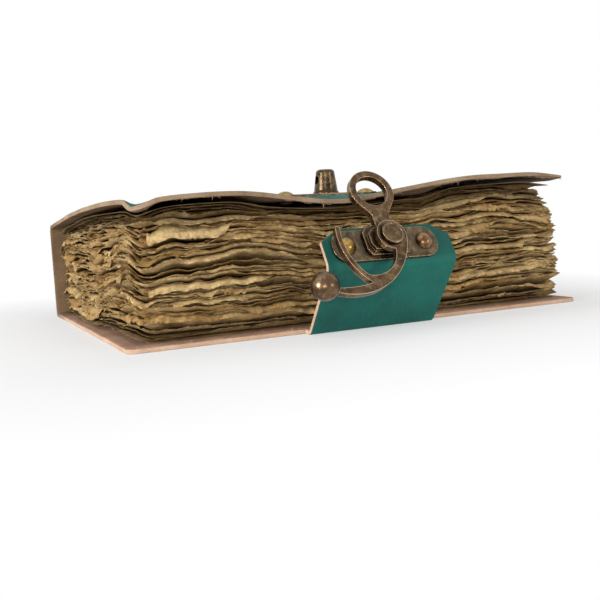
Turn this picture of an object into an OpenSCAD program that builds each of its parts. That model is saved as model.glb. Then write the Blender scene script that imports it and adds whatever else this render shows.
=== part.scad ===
// Handmade-paper notebook in a soft leather cover: torn-edge leaves, and a riveted brass clasp whose ring drops over
// a post on the front cover and is locked by a swing hook. It lies on its back cover, closed, with the clasp undone.
// The origin is at the middle of the back cover's underside. The fore-edge faces -Y and the head is at -X.

/* [Covers] */
// Length of each cover, from head to tail
cover_length = 178; // [150:1:210]
// Width of each cover, from fore-edge to spine
cover_width = 127; // [110:1:150]
// Thickness of the leather
leather = 1.5; // [1.2:0.1:2]
// Height of the straight wall of the spine, from the table to the start of its shoulder
spine_wall = 35.9; // [30:0.1:42]
// Outer radius of the spine's shoulder under the front cover
shoulder_radius = 4; // [3:0.1:6]
// Outer radius of the leather where the back cover meets the spine
foot_radius = 2; // [1:0.1:3]
// Radius of the cover corners at the fore-edge
corner_radius = 3; // [1:0.5:8]
// Rise of the front cover from the spine to the fore-edge where the leaves are thinnest
fore_rise = 5.8; // [5:0.1:8]
// How far the fore-edge of the front cover droops before the post
edge_droop = 2.2; // [0:0.1:2.6]
// How far the head corner of the front cover is bent down
corner_dip = 2; // [0:0.1:2.5]
// How far the front cover's head corner is drawn in along the fore-edge
head_skew = 5.5; // [0:0.5:7]
// How far the front cover's tail corner is drawn in along the fore-edge
tail_skew = 5; // [0:0.5:7]
// Running gap between pieces that turn against each other
gap = 0.3; // [0.2:0.05:0.5]

/* [Pages] */
// Number of ridges that stand for the torn edges of the leaves
ridges = 24; // [12:1:26]
// Distance of the leaves from the head edge of the covers
head_inset = 3.8; // [3:0.1:12]
// Further distance of the top leaves from the head edge, at the fore-edge
head_slant = 3.2; // [0:0.1:5]
// Distance of the lowest leaves from the tail edge of the covers
tail_inset = 7.6; // [4:0.1:14]
// Further distance of the top leaves from the tail edge
tail_slant = 7; // [0:0.5:8]
// Distance of the leaves from the fore-edge of the covers
fore_inset = 2.2; // [2:0.1:6]
// Depth of the grooves between the torn edges
groove_depth = 2.4; // [1:0.1:3]
// How far the torn edges wander in and out
tear_depth = 1.1; // [0.3:0.1:1.3]
// Height of the waves that run through the leaves
leaf_wave = 1.3; // [0:0.1:1.8]
// Gap between the top leaf and the front cover near the spine
air_back = 0.6; // [0.5:0.1:1.5]
// Gap between the top leaf and the front cover near the fore-edge
air_front = 1.9; // [1.7:0.1:3]

/* [Strap] */
// Width of the strap
strap_width = 48; // [40:1:56]
// Distance of the strap's middle from the middle of the cover
strap_shift = -5; // [-20:1:20]
// Distance of the strap's root from the fore-edge of the back cover
strap_reach = 3.5; // [3:0.1:6]
// Length of the strap from its root to its fold
strap_rise = 26.9; // [26:0.1:30]
// Lean of the strap away from the pages, from upright
strap_lean = 35.5; // [34:0.5:45]
// Length of the flap from the fold to its straight end
flap_length = 13.4; // [13.2:0.1:17]
// Lean of the flap back over the pages, from upright
flap_lean = 32; // [24:0.5:34]
// Width of the cut-off corners of the flap, along its end
chamfer_width = 6.5; // [3:0.5:12]
// Height of the cut-off corners of the flap, along its sides
chamfer_height = 4.4; // [2:0.1:7]

/* [Hasp] */
// Distance of the clasp's middle from the middle of the strap
clasp_shift = -1.8; // [-6:0.1:6]
// Height of the hook's pivot above the fold
pivot_height = 6.9; // [6.5:0.1:8]
// Length of the hasp plate
hasp_plate_length = 38.8; // [38:0.1:42]
// Width of the hasp plate
hasp_plate_width = 11.2; // [10:0.1:12]
// Thickness of the hasp plate
hasp_plate_thick = 1.2; // [1:0.1:1.6]
// Radius of the hasp plate's corners
hasp_plate_corner = 5; // [2:0.1:5]
// Distance of the hasp plate's middle below the pivot
hasp_drop = 0.6; // [0:0.1:0.8]
// Distance between the rivets of the hasp plate
hasp_rivet_pitch = 29; // [28:0.1:31]
// Width of the hasp's block
block_width = 16; // [13:0.1:17]
// Length of the hasp's block
block_length = 11; // [10:0.1:12]
// Thickness of the hasp's block, neck and ring
hasp_thick = 2.4; // [2.2:0.1:2.8]
// Width of the step round the hasp's block
block_step = 1.3; // [0.8:0.1:2]
// Width of the neck between the block and the ring
neck_width = 6.2; // [5:0.1:8]
// Distance from the hook's pivot to the middle of the ring
ring_reach = 18.1; // [17.8:0.1:19]
// Radius of the hole in the ring
ring_hole = 5.6; // [5:0.1:6]
// Width of the ring's band
ring_band = 2.3; // [2:0.1:2.8]

/* [Swing hook] */
// Thickness of the hook
hook_thick = 2.2; // [2:0.1:2.6]
// Radius of the hook's eye
eye_radius = 5.2; // [4.6:0.1:5.4]
// Width of the hook's point, which runs round the pivot
point_width = 1.6; // [1.4:0.1:2]
// Angle at which the hook's point ends, from the flap's long direction
point_angle = 169; // [160:1:174]
// Radius of the outer curve of the hook's back and tail
back_radius = 22.8; // [22.2:0.1:23.6]
// Width of the hook's tail at its widest
tail_width = 2.8; // [2.4:0.1:3.4]
// Radius of the hook's inner bow
bow_radius = 10; // [9.4:0.1:10.4]
// Radius of the ball that the thumb pushes
ball_radius = 4.5; // [4:0.1:4.6]
// Distance of the ball from the pivot
ball_reach = 32.4; // [31.5:0.1:33]

/* [Post] */
// Distance of the post from the fore-edge of the front cover
post_inset = 23.5; // [22:0.1:26]
// Length of the post plate
post_plate_length = 40; // [38:0.1:42]
// Width of the post plate
post_plate_width = 11; // [10:0.1:13]
// Thickness of the post plate
post_plate_thick = 1; // [0.8:0.1:1.5]
// Distance between the rivets of the post plate
post_rivet_pitch = 32.6; // [28:0.1:33]
// Height of the post above its plate
post_height = 8.6; // [8:0.1:9.5]
// Radius of the post at its foot
post_foot = 4.3; // [4:0.1:4.6]
// Radius of the post under its rounded top
post_top = 3.4; // [3:0.1:3.8]
// Width of the eye through the post
post_eye = 3.2; // [2.9:0.1:3.6]
// Height of the middle of the eye above the plate
post_eye_height = 4.8; // [4.4:0.1:5]

/* [Rivets] */
// Radius of the rivet shanks
shank_radius = 1.4; // [1:0.1:1.8]
// Radius of the domed rivet heads
dome_radius = 3.2; // [2.6:0.1:3.4]
// Height of the hasp's domed rivet heads
dome_height = 2.2; // [1.5:0.1:2.6]
// Height of the flatter rivet heads beside the post
low_dome_height = 1.3; // [0.9:0.1:1.8]
// Radius of the pivot's shank
pivot_radius = 1.6; // [1.2:0.1:2]
// Clearance round the pivot's shank in the hook's eye
pivot_clearance = 0.08; // [0.02:0.02:0.1]
// Radius of the pivot's flat head
pivot_head = 3.8; // [3:0.1:4]
// Height of the pivot's flat head
pivot_head_height = 1; // [0.8:0.1:1.6]
// Radius of the washers on the flesh side of the leather
burr_radius = 3.2; // [2.8:0.1:4]
// Thickness of those washers
burr_thick = 0.6; // [0.4:0.1:0.8]
// Height of the hammered rivet ends above the washers
peen_height = 0.4; // [0.3:0.1:0.5]

/* [Hidden] */
$fn = 48;

// Rise of the front cover above its lowest rise, at shares of the cover's length, and share of the fore-edge's droop
fore_wave = [[0, 1.8], [0.19, 3.05], [0.445, 0], [0.77, 4.8], [0.87, 5], [1, 1.2]];
droop_wave = [[0, 0], [0.25, 0], [0.445, 1], [0.65, 0], [1, 0]];
// Run of the droop, reach of the bent corner, and how late the head and tail edges of the front cover draw in
droop_run = 14;
corner_reach = 9;
skew_power = 8;
// Columns and rows of the front cover's surface, and of the top of the pages
cover_columns = 24;
cover_rows = 18;
page_columns = 26;
page_rows = 19;
// Angle at which the shoulder hands over to the front cover, steeper than the cover's own start
shoulder_angle = 74;
// How far the cover stays flat past the ends and the sides of the post plate, and the runs over which it turns wavy
seat_margin_length = 7.5;
seat_margin_width = 7.5;
seat_fade_length = 16;
seat_fade_width = 10;
// Places that the pieces share
spine_y = cover_width / 2;
fore_y = -cover_width / 2;
seam_y = spine_y - shoulder_radius + shoulder_radius * cos(shoulder_angle);
seam_z = spine_wall + shoulder_radius * sin(shoulder_angle);
root_y = fore_y - strap_reach;
root_z = leather / 2;
fold_y = root_y - strap_rise * sin(strap_lean);
fold_z = root_z + strap_rise * cos(strap_lean);
clasp_x = strap_shift + clasp_shift;
post_y = fore_y + post_inset;
socket_radius = leather / 2 + gap;
block_level = hasp_plate_thick;
hook_level = block_level + hasp_thick + gap;
point_radius = ring_reach + 2.9;
point_center = [1.3, -0.6];
back_center = [-17.74, 2.88];
tail_center = [-20.5, 19];
bow_center = [-10.4, -4];
ball_angle = 209;
// Turn over which the hook's back draws in towards the eye, and the step between the points of its curves
back_blend = 32;
arc_step = 5;

// Smooth step from 0 to 1 as t runs from 0 to 1
function soft(t) = t <= 0 ? 0 : t >= 1 ? 1 : (1 - cos(180 * t)) / 2;

// Value at t of a curve through [place, value] points, level at each point
function curve(points, t, i = 0) =
    i >= len(points) - 2 || t < points[i + 1][0]
        ? points[i][1] + (points[i + 1][1] - points[i][1])
            * soft((t - points[i][0]) / (points[i + 1][0] - points[i][0]))
        : curve(points, t, i + 1);

// Height of the front cover's outer face as the leather alone would lie
function free_top(x, y) =
    let (
        along = x / cover_length + 0.5,
        across = (seam_y - y) / (seam_y - fore_y),
        past_plate = post_y - post_plate_width / 2 - y,
        from_corner = norm([x + cover_length / 2 - head_skew, y - fore_y])
    )
    seam_z + (fore_rise + curve(fore_wave, along)) * (1 - pow(1 - across, 3))
        - edge_droop * curve(droop_wave, along) * soft(past_plate / droop_run)
        - corner_dip * (1 - soft(from_corner / corner_reach));

// Height of the flat seat under the post plate
seat_z = free_top(clasp_x, post_y);

// How much the stiff plate flattens the cover at a place, from 0 to 1
function seat_hold(x, y) =
    let (
        past_x = abs(x - clasp_x) - post_plate_length / 2 - seat_margin_length,
        past_y = abs(y - post_y) - post_plate_width / 2 - seat_margin_width
    )
    (1 - soft(past_x / seat_fade_length)) * (1 - soft(past_y / seat_fade_width));

// Height of the front cover's outer face
function cover_top(x, y) =
    let (hold = seat_hold(x, y))
    free_top(x, y) * (1 - hold) + seat_z * hold;

// Carries its children to the strap: Y runs up the strap, Z out of its outer face, and X is its root line
module on_strap() {
    translate([strap_shift, root_y, root_z])
        rotate([90 + strap_lean, 0, 0])
            children();
}

// Carries its children to the flap: Y runs up the flap, Z out of its outer face, and X is its fold line
module on_flap() {
    translate([strap_shift, fold_y, fold_z])
        rotate([90 - flap_lean, 0, 0])
            children();
}

// Carries its children to the hook's pivot, on the outer face of the flap
module on_clasp() {
    on_flap()
        translate([clasp_shift, pivot_height, leather / 2])
            children();
}

// Carries its children to the post, on the outer face of the front cover
module on_seat() {
    translate([clasp_x, post_y, seat_z])
        children();
}

// Rod along X, as long as the strap is wide
module strap_rod(radius, extra = 0) {
    rotate([0, 90, 0])
        cylinder(h = strap_width + 2 * extra, r = radius, center = true);
}

// Bar with rounded corners, flat on its back
module bar(length, width, thick, corner) {
    linear_extrude(thick) {
        square([length - 2 * corner, width], center = true);
        square([length, width - 2 * corner], center = true);
        for (x = [-1, 1], y = [-1, 1])
            translate([x * (length / 2 - corner), y * (width / 2 - corner)])
                circle(corner);
    }
}

// Back cover: a flat panel with a rounded foot at the spine and a short tongue that carries the strap
module back_cover() {
    color("darkcyan")
    difference() {
        union() {
            translate([0, fore_y + corner_radius, 0])
                cover_panel(cover_width - corner_radius);
            translate([strap_shift - strap_width / 2, root_y, 0])
                cube([strap_width, strap_reach + corner_radius, leather]);
        }
        translate([strap_shift, root_y, root_z])
            strap_rod(socket_radius, 1);
        spine_foot_cut();
    }
}

// Panel from Y 0 to its depth, with a strip before it whose corners are round
module cover_panel(depth) {
    linear_extrude(leather) {
        translate([-cover_length / 2, 0])
            square([cover_length, depth]);
        translate([-cover_length / 2 + corner_radius, -corner_radius])
            square([cover_length - 2 * corner_radius, corner_radius + 1]);
        for (side = [-1, 1])
            translate([side * (cover_length / 2 - corner_radius), 0])
                circle(corner_radius);
    }
}

// What the rounded foot takes off the lower outer edge of the back cover
module spine_foot_cut() {
    rotate([90, 0, 90])
        linear_extrude(cover_length + 2, center = true)
            difference() {
                translate([spine_y - foot_radius, -1])
                    square([foot_radius + 1, foot_radius + 1]);
                translate([spine_y - foot_radius, foot_radius])
                    circle(foot_radius);
            }
}

// Section of the spine: a wall that ends in a round shoulder, cut upright where the front cover starts
module spine_section() {
    center = [spine_y - shoulder_radius, spine_wall];
    inner_radius = shoulder_radius - leather;
    inner_end = acos((seam_y - center[0]) / inner_radius);
    steps = 12;
    polygon(concat(
        [[spine_y - leather, leather + gap], [spine_y, leather + gap]],
        [for (i = [0:steps]) let (a = shoulder_angle * i / steps)
            center + shoulder_radius * [cos(a), sin(a)]],
        [for (i = [0:steps]) let (a = inner_end * (1 - i / steps))
            center + inner_radius * [cos(a), sin(a)]]
    ));
}

// Spine: the strip of leather that the leaves are bound to
module spine() {
    color("darkcyan")
    rotate([90, 0, 90])
        linear_extrude(cover_length, center = true)
            spine_section();
}

// Front cover: a sheet that rises from the spine and waves along the fore-edge, holed for the clasp's rivets
module front_cover() {
    color("darkcyan")
    difference() {
        cover_sheet();
        on_seat()
            for (x = [-post_rivet_pitch / 2, 0, post_rivet_pitch / 2])
                translate([x, 0, -leather - 1])
                    cylinder(h = leather + 2, r = shank_radius);
    }
}

// How far a corner column or row is drawn in, so that the fore-edge corners are cut round
function corner_draw(x) =
    let (past = corner_radius - (cover_length / 2 - abs(x)))
    past <= 0 ? 0 : corner_radius - sqrt(max(0, corner_radius * corner_radius - past * past));

// X of a place on the front cover, whose head and tail edges draw in towards the fore-edge
function cover_x(along, across) =
    let (draw = pow(across, skew_power))
    -cover_length / 2 + head_skew * draw + (cover_length - (head_skew + tail_skew) * draw) * along;

// The sheet itself, as a grid of points on its outer face and one below it on its flesh side
module cover_sheet() {
    columns = cover_columns;
    rows = cover_rows;
    start_y = seam_y - gap;
    grid = [for (side = [0, 1], j = [0:rows], i = [0:columns])
        let (
            x = cover_x(i / columns, j / rows),
            draw = corner_draw((i / columns - 0.5) * cover_length),
            y = start_y + (fore_y + draw - start_y) * j / rows
        )
        [x, y, cover_top(x, y) - side * leather]];
    layer = (columns + 1) * (rows + 1);
    function at(side, i, j) = side * layer + j * (columns + 1) + i;
    faces = concat(
        [for (j = [0:rows - 1], i = [0:columns - 1]) each [
            [at(0, i, j), at(0, i + 1, j), at(0, i + 1, j + 1)],
            [at(0, i, j), at(0, i + 1, j + 1), at(0, i, j + 1)],
            [at(1, i, j), at(1, i + 1, j + 1), at(1, i + 1, j)],
            [at(1, i, j), at(1, i, j + 1), at(1, i + 1, j + 1)]]],
        [for (i = [0:columns - 1]) each [
            [at(0, i + 1, 0), at(0, i, 0), at(1, i, 0)],
            [at(0, i + 1, 0), at(1, i, 0), at(1, i + 1, 0)],
            [at(0, i, rows), at(0, i + 1, rows), at(1, i + 1, rows)],
            [at(0, i, rows), at(1, i + 1, rows), at(1, i, rows)]]],
        [for (j = [0:rows - 1]) each [
            [at(0, 0, j), at(0, 0, j + 1), at(1, 0, j + 1)],
            [at(0, 0, j), at(1, 0, j + 1), at(1, 0, j)],
            [at(0, columns, j + 1), at(0, columns, j), at(1, columns, j)],
            [at(0, columns, j + 1), at(1, columns, j), at(1, columns, j + 1)]]]
    );
    polyhedron(grid, faces, convexity = 6);
}

// Pages

// Height of the top leaf under the front cover
function pages_top(x, y) =
    let (
        front = soft((spine_y - y) / cover_width * 2 - 0.7),
        bound = soft((y - seam_y + leather) / leather)
    )
    cover_top(x, min(y, seam_y)) - leather - air_back - (air_front - air_back) * front - leather * bound;

// Slow swell of the leaves along their edges, which changes from the lowest to the top leaf, from -1 to 1
function swell(level, run) = (sin(6.3 * run + 150 * level) + 0.7 * sin(13.7 * run - 260 * level)) / 1.7;

// Quick ruffle along the edge of one leaf, from -1 to 1
function ruffle(run, phase) = (sin(19.3 * run + phase) + sin(26.1 * run - 2 * phase)) / 2;

// Places round the three open sides of the pages: head from the spine, fore-edge, tail back to the spine.
// Each is [x share, y share, outward x, outward y, run along the edge]
function edge_places() = concat(
    [for (j = [0:page_rows - 1]) let (share = j / page_rows)
        [0, share, -1, 0, share * cover_width]],
    [[0, 1, -0.7, -0.7, cover_width]],
    [for (i = [1:page_columns - 1]) let (share = i / page_columns)
        [share, 1, 0, -1, cover_width + share * cover_length]],
    [[1, 1, 0.7, -0.7, cover_width + cover_length]],
    [for (j = [page_rows - 1:-1:0]) let (share = j / page_rows)
        [1, share, 1, 0, 2 * cover_width + cover_length - share * cover_width]]
);

// A point of the pages at shares of their length, their depth and their height, pushed outward by a distance
function page_point(place, level, push) =
    let (
        bound_y = spine_y - leather,
        head_x = -cover_length / 2 + head_inset + head_slant * level * place[1] * place[1],
        tail_x = cover_length / 2 - tail_inset - tail_slant * level * level,
        x = head_x + (tail_x - head_x) * place[0] + push * place[2],
        y = bound_y + (fore_y + fore_inset - bound_y) * place[1] + push * place[3],
        low = leather + gap,
        high = pages_top(x, y),
        wave = leaf_wave * sin(180 * level) * swell(level, place[4]) * min(1, 2 * place[1])
    )
    [x, y, low + (high - low) * level + wave];

// Level of the lower (side 0) or upper (side 1) rim of one torn edge at a place, counted in ridges
function rim(leaf, side, place, sets, phases) =
    let (
        still = place[1] == 0 ? 0 : 1,
        drift = 0.1 * ruffle(place[4], phases[leaf] + 40 * side),
        shift = 0.12 * sets[ridges - 1 - leaf]
    )
    leaf + (side == 0 ? 0.13 : 0.79) + still * (drift + shift);

// Level of a point of one line round the pages, where part is 0 under a torn edge, 1 over it, 2 in the groove above
function line_level(leaf, part, place, sets, phases) =
    leaf == 0 && part == 0 ? 0
    : leaf == ridges - 1 && part == 2 ? 1
    : part < 2 ? rim(leaf, part, place, sets, phases) / ridges
    : (rim(leaf, 1, place, sets, phases) + rim(leaf + 1, 0, place, sets, phases)) / 2 / ridges;

// One line round the pages
function page_line(places, leaf, part, sets, phases) =
    [for (place = places)
        let (
            level = line_level(leaf, part, place, sets, phases),
            bound = place[1] == 0,
            torn = tear_depth * (0.55 * sets[leaf] + 0.45 * ruffle(1.3 * place[4], 3 * phases[leaf])),
            push = torn - (part == 2 ? groove_depth : 0)
        )
        page_point(place, level, level == 0 ? 0 : bound ? torn * 0.3 : push)];

// Leaves: one solid, whose open sides carry a ridge for each few leaves and a groove above it
module page_block() {
    places = edge_places();
    sets = rands(-1, 1, ridges + 1, 7);
    phases = rands(0, 360, ridges + 1, 11);
    lines = [for (leaf = [0:ridges - 1], part = [0:2]) page_line(places, leaf, part, sets, phases)];
    around = len(places);
    line_count = len(lines);
    top = lines[line_count - 1];
    // Inner points of the top face, one for each column and row
    inner = [for (j = [0:page_rows - 1], i = [1:page_columns - 1])
        let (
            head = top[j],
            tail = top[around - 1 - j],
            share = i / page_columns,
            x = head[0] + (tail[0] - head[0]) * share,
            y = head[1] + (tail[1] - head[1]) * share
        )
        [x, y, pages_top(x, y)]];
    points = concat([for (line = lines) each line], inner);
    last = (line_count - 1) * around;
    function top_at(i, j) =
        i == 0 ? last + j
        : i == page_columns ? last + around - 1 - j
        : j == page_rows ? last + page_rows + i
        : line_count * around + j * (page_columns - 1) + i - 1;
    sides = [for (k = [0:line_count - 2], i = [0:around - 2]) each [
        [k * around + i, (k + 1) * around + i, (k + 1) * around + i + 1],
        [k * around + i, (k + 1) * around + i + 1, k * around + i + 1]]];
    lid = [for (j = [0:page_rows - 1], i = [0:page_columns - 1]) each [
        [top_at(i, j), top_at(i + 1, j), top_at(i + 1, j + 1)],
        [top_at(i, j), top_at(i + 1, j + 1), top_at(i, j + 1)]]];
    underside = concat(
        [for (j = [0:page_rows - 2]) [j, j + 1, around - 2 - j, around - 1 - j]],
        [concat([around - page_rows], [for (i = [page_rows - 1:around - page_rows - 1]) i])]
    );
    bound_side = concat(
        [for (k = [0:line_count - 3])
            [k * around, k * around + around - 1, (k + 1) * around + around - 1, (k + 1) * around]],
        [concat(
            [last - around, last - 1],
            [for (i = [page_columns:-1:0]) top_at(i, 0)]
        )]
    );
    color("tan")
        polyhedron(points, concat(sides, lid, underside, bound_side), convexity = 12);
}

// Strap and flap

// Strap: stands in the socket of the back cover and ends in a socket of its own, where it folds
module strap() {
    color("darkcyan")
    on_strap()
        difference() {
            union() {
                strap_rod(leather / 2);
                translate([-strap_width / 2, 0, -leather / 2])
                    cube([strap_width, strap_rise - leather / 4, leather]);
            }
            translate([0, strap_rise, 0])
                strap_rod(socket_radius, 1);
        }
}

// Flap: folded over from the strap, with cut-off corners and holes for the rivets
module strap_flap() {
    half = strap_width / 2;
    color("darkcyan")
    difference() {
        on_flap() {
            strap_rod(leather / 2);
            translate([0, 0, -leather / 2])
                linear_extrude(leather)
                    polygon([
                        [-half, 0], [half, 0],
                        [half, flap_length - chamfer_height], [half - chamfer_width, flap_length],
                        [-half + chamfer_width, flap_length], [-half, flap_length - chamfer_height]
                    ]);
        }
        on_clasp() {
            translate([0, 0, -leather - 1])
                cylinder(h = leather + 2, r = pivot_radius);
            for (side = [-1, 1])
                translate([side * hasp_rivet_pitch / 2, -hasp_drop, -leather - 1])
                    cylinder(h = leather + 2, r = shank_radius);
        }
    }
}

// Rivets and washers

// Domed rivet through a plate and the leather, hammered over a washer behind
module dome_rivet(plate, height) {
    through = leather + burr_thick + peen_height;
    ball = (dome_radius * dome_radius + height * height) / (2 * height);
    translate([0, 0, -through])
        cylinder(h = through + plate, r = shank_radius);
    translate([0, 0, plate])
        rotate_extrude()
            intersection() {
                translate([0, height - ball])
                    circle(ball);
                square([dome_radius, height]);
            }
    translate([0, 0, -through])
        cylinder(h = peen_height, r1 = shank_radius + peen_height / 2, r2 = shank_radius + peen_height);
}

// Washer behind the leather
module burr(hole) {
    translate([0, 0, -leather - burr_thick])
        difference() {
            cylinder(h = burr_thick, r = burr_radius);
            translate([0, 0, -1])
                cylinder(h = burr_thick + 2, r = hole);
        }
}

// Hasp

// Plate that spreads the clasp's pull over the flap
module hasp_plate() {
    color("darkgoldenrod")
    on_clasp()
        difference() {
            translate([0, -hasp_drop, 0])
                bar(hasp_plate_length, hasp_plate_width, hasp_plate_thick, hasp_plate_corner);
            translate([0, 0, -1]) {
                cylinder(h = hasp_plate_thick + 2, r = pivot_radius);
                for (side = [-1, 1])
                    translate([side * hasp_rivet_pitch / 2, -hasp_drop, 0])
                        cylinder(h = hasp_plate_thick + 2, r = shank_radius);
            }
        }
}

// Outline of the hasp's block, drawn in by a step
module block_outline(step) {
    half = block_width / 2 - step;
    low = -block_length * 0.45 + step;
    high = block_length * 0.51 - step;
    cut = block_length * 0.2;
    polygon([
        [-half + cut * 0.6, low], [half - cut * 0.6, low], [half, low + cut],
        [half, high - cut], [half - cut, high], [-half + cut, high], [-half, high - cut], [-half, low + cut]
    ]);
}

// Neck that widens into the ring, touching the ring's outer circle on both sides
module neck_outline() {
    outer = ring_hole + ring_band;
    neck_top = ring_reach - outer - ring_band / 2;
    neck_low = block_length * 0.3;
    span = norm([neck_width / 2, ring_reach - neck_top]);
    touch = atan2(neck_width / 2, ring_reach - neck_top) + acos(outer / span);
    side = [outer * sin(touch), ring_reach - outer * cos(touch)];
    polygon([
        [-neck_width / 2, neck_low], [neck_width / 2, neck_low], [neck_width / 2, neck_top],
        side, [-side[0], side[1]], [-neck_width / 2, neck_top]
    ]);
}

// Hasp: a stepped block, a neck and a ring, cast as one
module hasp() {
    color("goldenrod")
    on_clasp()
        translate([0, 0, block_level])
            difference() {
                union() {
                    linear_extrude(hasp_thick * 0.45)
                        block_outline(0);
                    linear_extrude(hasp_thick) {
                        block_outline(block_step);
                        neck_outline();
                        translate([0, ring_reach])
                            circle(ring_hole + ring_band);
                    }
                }
                translate([0, ring_reach, -1])
                    cylinder(h = hasp_thick + 2, r = ring_hole);
                translate([0, 0, -1])
                    cylinder(h = hasp_thick + 2, r = pivot_radius);
            }
}

// Rivet of the hasp plate
module hasp_rivet(side) {
    color("gold")
    on_clasp()
        translate([side * hasp_rivet_pitch / 2, -hasp_drop, 0])
            dome_rivet(hasp_plate_thick, dome_height);
}

// Washer of the hasp plate
module hasp_burr(side) {
    color("darkgoldenrod")
    on_clasp()
        translate([side * hasp_rivet_pitch / 2, -hasp_drop, 0])
            burr(shank_radius);
}

// Pivot: a rivet with a flat, rimmed head that the hook turns on
module pivot_rivet() {
    through = leather + burr_thick + peen_height;
    head_level = hook_level + hook_thick + gap / 2;
    rim = pivot_head * 0.18;
    color("goldenrod")
    on_clasp() {
        translate([0, 0, -through])
            cylinder(h = through + head_level, r = pivot_radius);
        translate([0, 0, head_level])
            difference() {
                cylinder(h = pivot_head_height, r = pivot_head);
                translate([0, 0, pivot_head_height * 0.6])
                    cylinder(h = pivot_head_height, r = pivot_head - rim);
            }
        translate([0, 0, -through])
            cylinder(h = peen_height, r1 = pivot_radius + peen_height / 2, r2 = pivot_radius + peen_height);
    }
}

// Washer behind the pivot
module pivot_burr() {
    color("darkgoldenrod")
    on_clasp()
        burr(pivot_radius);
}

// Swing hook

// Points along an arc, from one angle to another
function arc(center, radius, from, to) =
    let (steps = ceil(abs(to - from) / arc_step))
    [for (i = [0:steps]) let (a = from + (to - from) * i / steps) center + radius * [cos(a), sin(a)]];

// The points of a loop, without those that repeat the one before them
function distinct(points) =
    [for (i = [0:len(points) - 1]) if (norm(points[i] - points[(i + 1) % len(points)]) > 0.001) points[i]];

// Where two circles meet, to the left (side 1) or to the right (side -1) on the way from the first to the second
function meet(center_a, radius_a, center_b, radius_b, side) =
    let (
        away = norm(center_b - center_a),
        ahead = (center_b - center_a) / away,
        foot = (radius_a * radius_a - radius_b * radius_b + away * away) / (2 * away),
        off = sqrt(radius_a * radius_a - foot * foot)
    )
    center_a + foot * ahead + side * off * [-ahead[1], ahead[0]];

// Angle of a point about a center, from 0 to 360
function angle_at(center, point) =
    let (a = atan2(point[1] - center[1], point[0] - center[0])) a < 0 ? a + 360 : a;

// Outer curve of the back, which draws in towards the eye until it touches it
function back_curve() =
    let (
        start = angle_at(back_center, [0, 0]) - 360,
        end = angle_at(back_center, ball_place()) - 360,
        draw = back_radius - norm(back_center) - eye_radius,
        steps = ceil((start - end) / arc_step)
    )
    [for (i = [0:steps])
        let (
            a = start + (end - start) * i / steps,
            r = back_radius - draw * soft(1 - (start - a) / back_blend)
        )
        back_center + r * [cos(a), sin(a)]];

// Place of the ball's middle, seen along the pivot
function ball_place() = ball_reach * [cos(ball_angle), sin(ball_angle)];

// Outline of the hook, round from the eye: its back, its tail, and the point's arm with a round tip
function hook_outline() =
    let (
        pivot = [0, 0],
        inner_radius = point_radius - point_width,
        tail_radius = norm(tail_center - back_center) + back_radius - tail_width,
        crotch = meet(tail_center, tail_radius, point_center, point_radius, -1),
        arm_end = meet(point_center, inner_radius, bow_center, bow_radius, 1),
        throat = meet(pivot, eye_radius, bow_center, bow_radius, 1),
        tip = point_center + (inner_radius + point_width / 2) * [cos(point_angle), sin(point_angle)],
        tip_arc = arc(tip, point_width / 2, point_angle, point_angle - 180)
    )
    concat(
        arc(pivot, eye_radius, angle_at(pivot, throat), angle_at(back_center, pivot) - 360),
        back_curve(),
        arc(tail_center, tail_radius, angle_at(tail_center, ball_place()), angle_at(tail_center, crotch)),
        arc(point_center, point_radius, angle_at(point_center, crotch), point_angle),
        [for (i = [1:len(tip_arc) - 2]) tip_arc[i]],
        arc(point_center, inner_radius, point_angle, angle_at(point_center, arm_end)),
        arc(bow_center, bow_radius, angle_at(bow_center, arm_end), angle_at(bow_center, throat))
    );

// Swing hook: eye, curved back with a point that swings through the post, and a tail with a ball
module swing_hook() {
    color("peru")
    on_clasp()
        translate([0, 0, hook_level])
            difference() {
                union() {
                    linear_extrude(hook_thick)
                        polygon(distinct(hook_outline()));
                    translate(concat(ball_place(), [hook_thick / 2]))
                        sphere(ball_radius);
                }
                translate([0, 0, -1])
                    cylinder(h = hook_thick + 2, r = pivot_radius + pivot_clearance);
            }
}

// Post

// Plate under the post
module post_plate() {
    color("darkgoldenrod")
    on_seat()
        difference() {
            bar(post_plate_length, post_plate_width, post_plate_thick, post_plate_width * 0.45);
            for (x = [-post_rivet_pitch / 2, 0, post_rivet_pitch / 2])
                translate([x, 0, -1])
                    cylinder(h = post_plate_thick + 2, r = shank_radius);
        }
}

// Section of the post: flared foot, tapered side and rounded top
module post_section() {
    round_top = post_top * 0.4;
    flare = post_foot + 0.4;
    polygon(concat(
        [[0, 0], [flare, 0], [flare, 0.3], [post_foot, 0.9], [post_top, post_height - round_top]],
        [for (a = [15:15:90])
            [post_top - round_top + round_top * cos(a), post_height - round_top + round_top * sin(a)]],
        [[0, post_height]]
    ));
}

// Post: a tapered stud with an eye along the fore-edge for the hook's point, riveted through the cover
module post() {
    through = leather + burr_thick + peen_height;
    color("goldenrod")
    on_seat() {
        translate([0, 0, post_plate_thick])
            difference() {
                rotate_extrude()
                    post_section();
                translate([0, 0, post_eye_height])
                    rotate([0, 90, 0])
                        cylinder(h = 3 * post_foot, r = post_eye / 2, center = true);
            }
        translate([0, 0, -through])
            cylinder(h = through + post_plate_thick, r = shank_radius);
        translate([0, 0, -through])
            cylinder(h = peen_height, r1 = shank_radius + peen_height / 2, r2 = shank_radius + peen_height);
    }
}

// Rivet of the post plate
module post_rivet(side) {
    color("gold")
    on_seat()
        translate([side * post_rivet_pitch / 2, 0, 0])
            dome_rivet(post_plate_thick, low_dome_height);
}

// Washer of the post plate, or of the post itself when side is 0
module post_burr(side) {
    color("darkgoldenrod")
    on_seat()
        translate([side * post_rivet_pitch / 2, 0, 0])
            burr(shank_radius);
}

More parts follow.
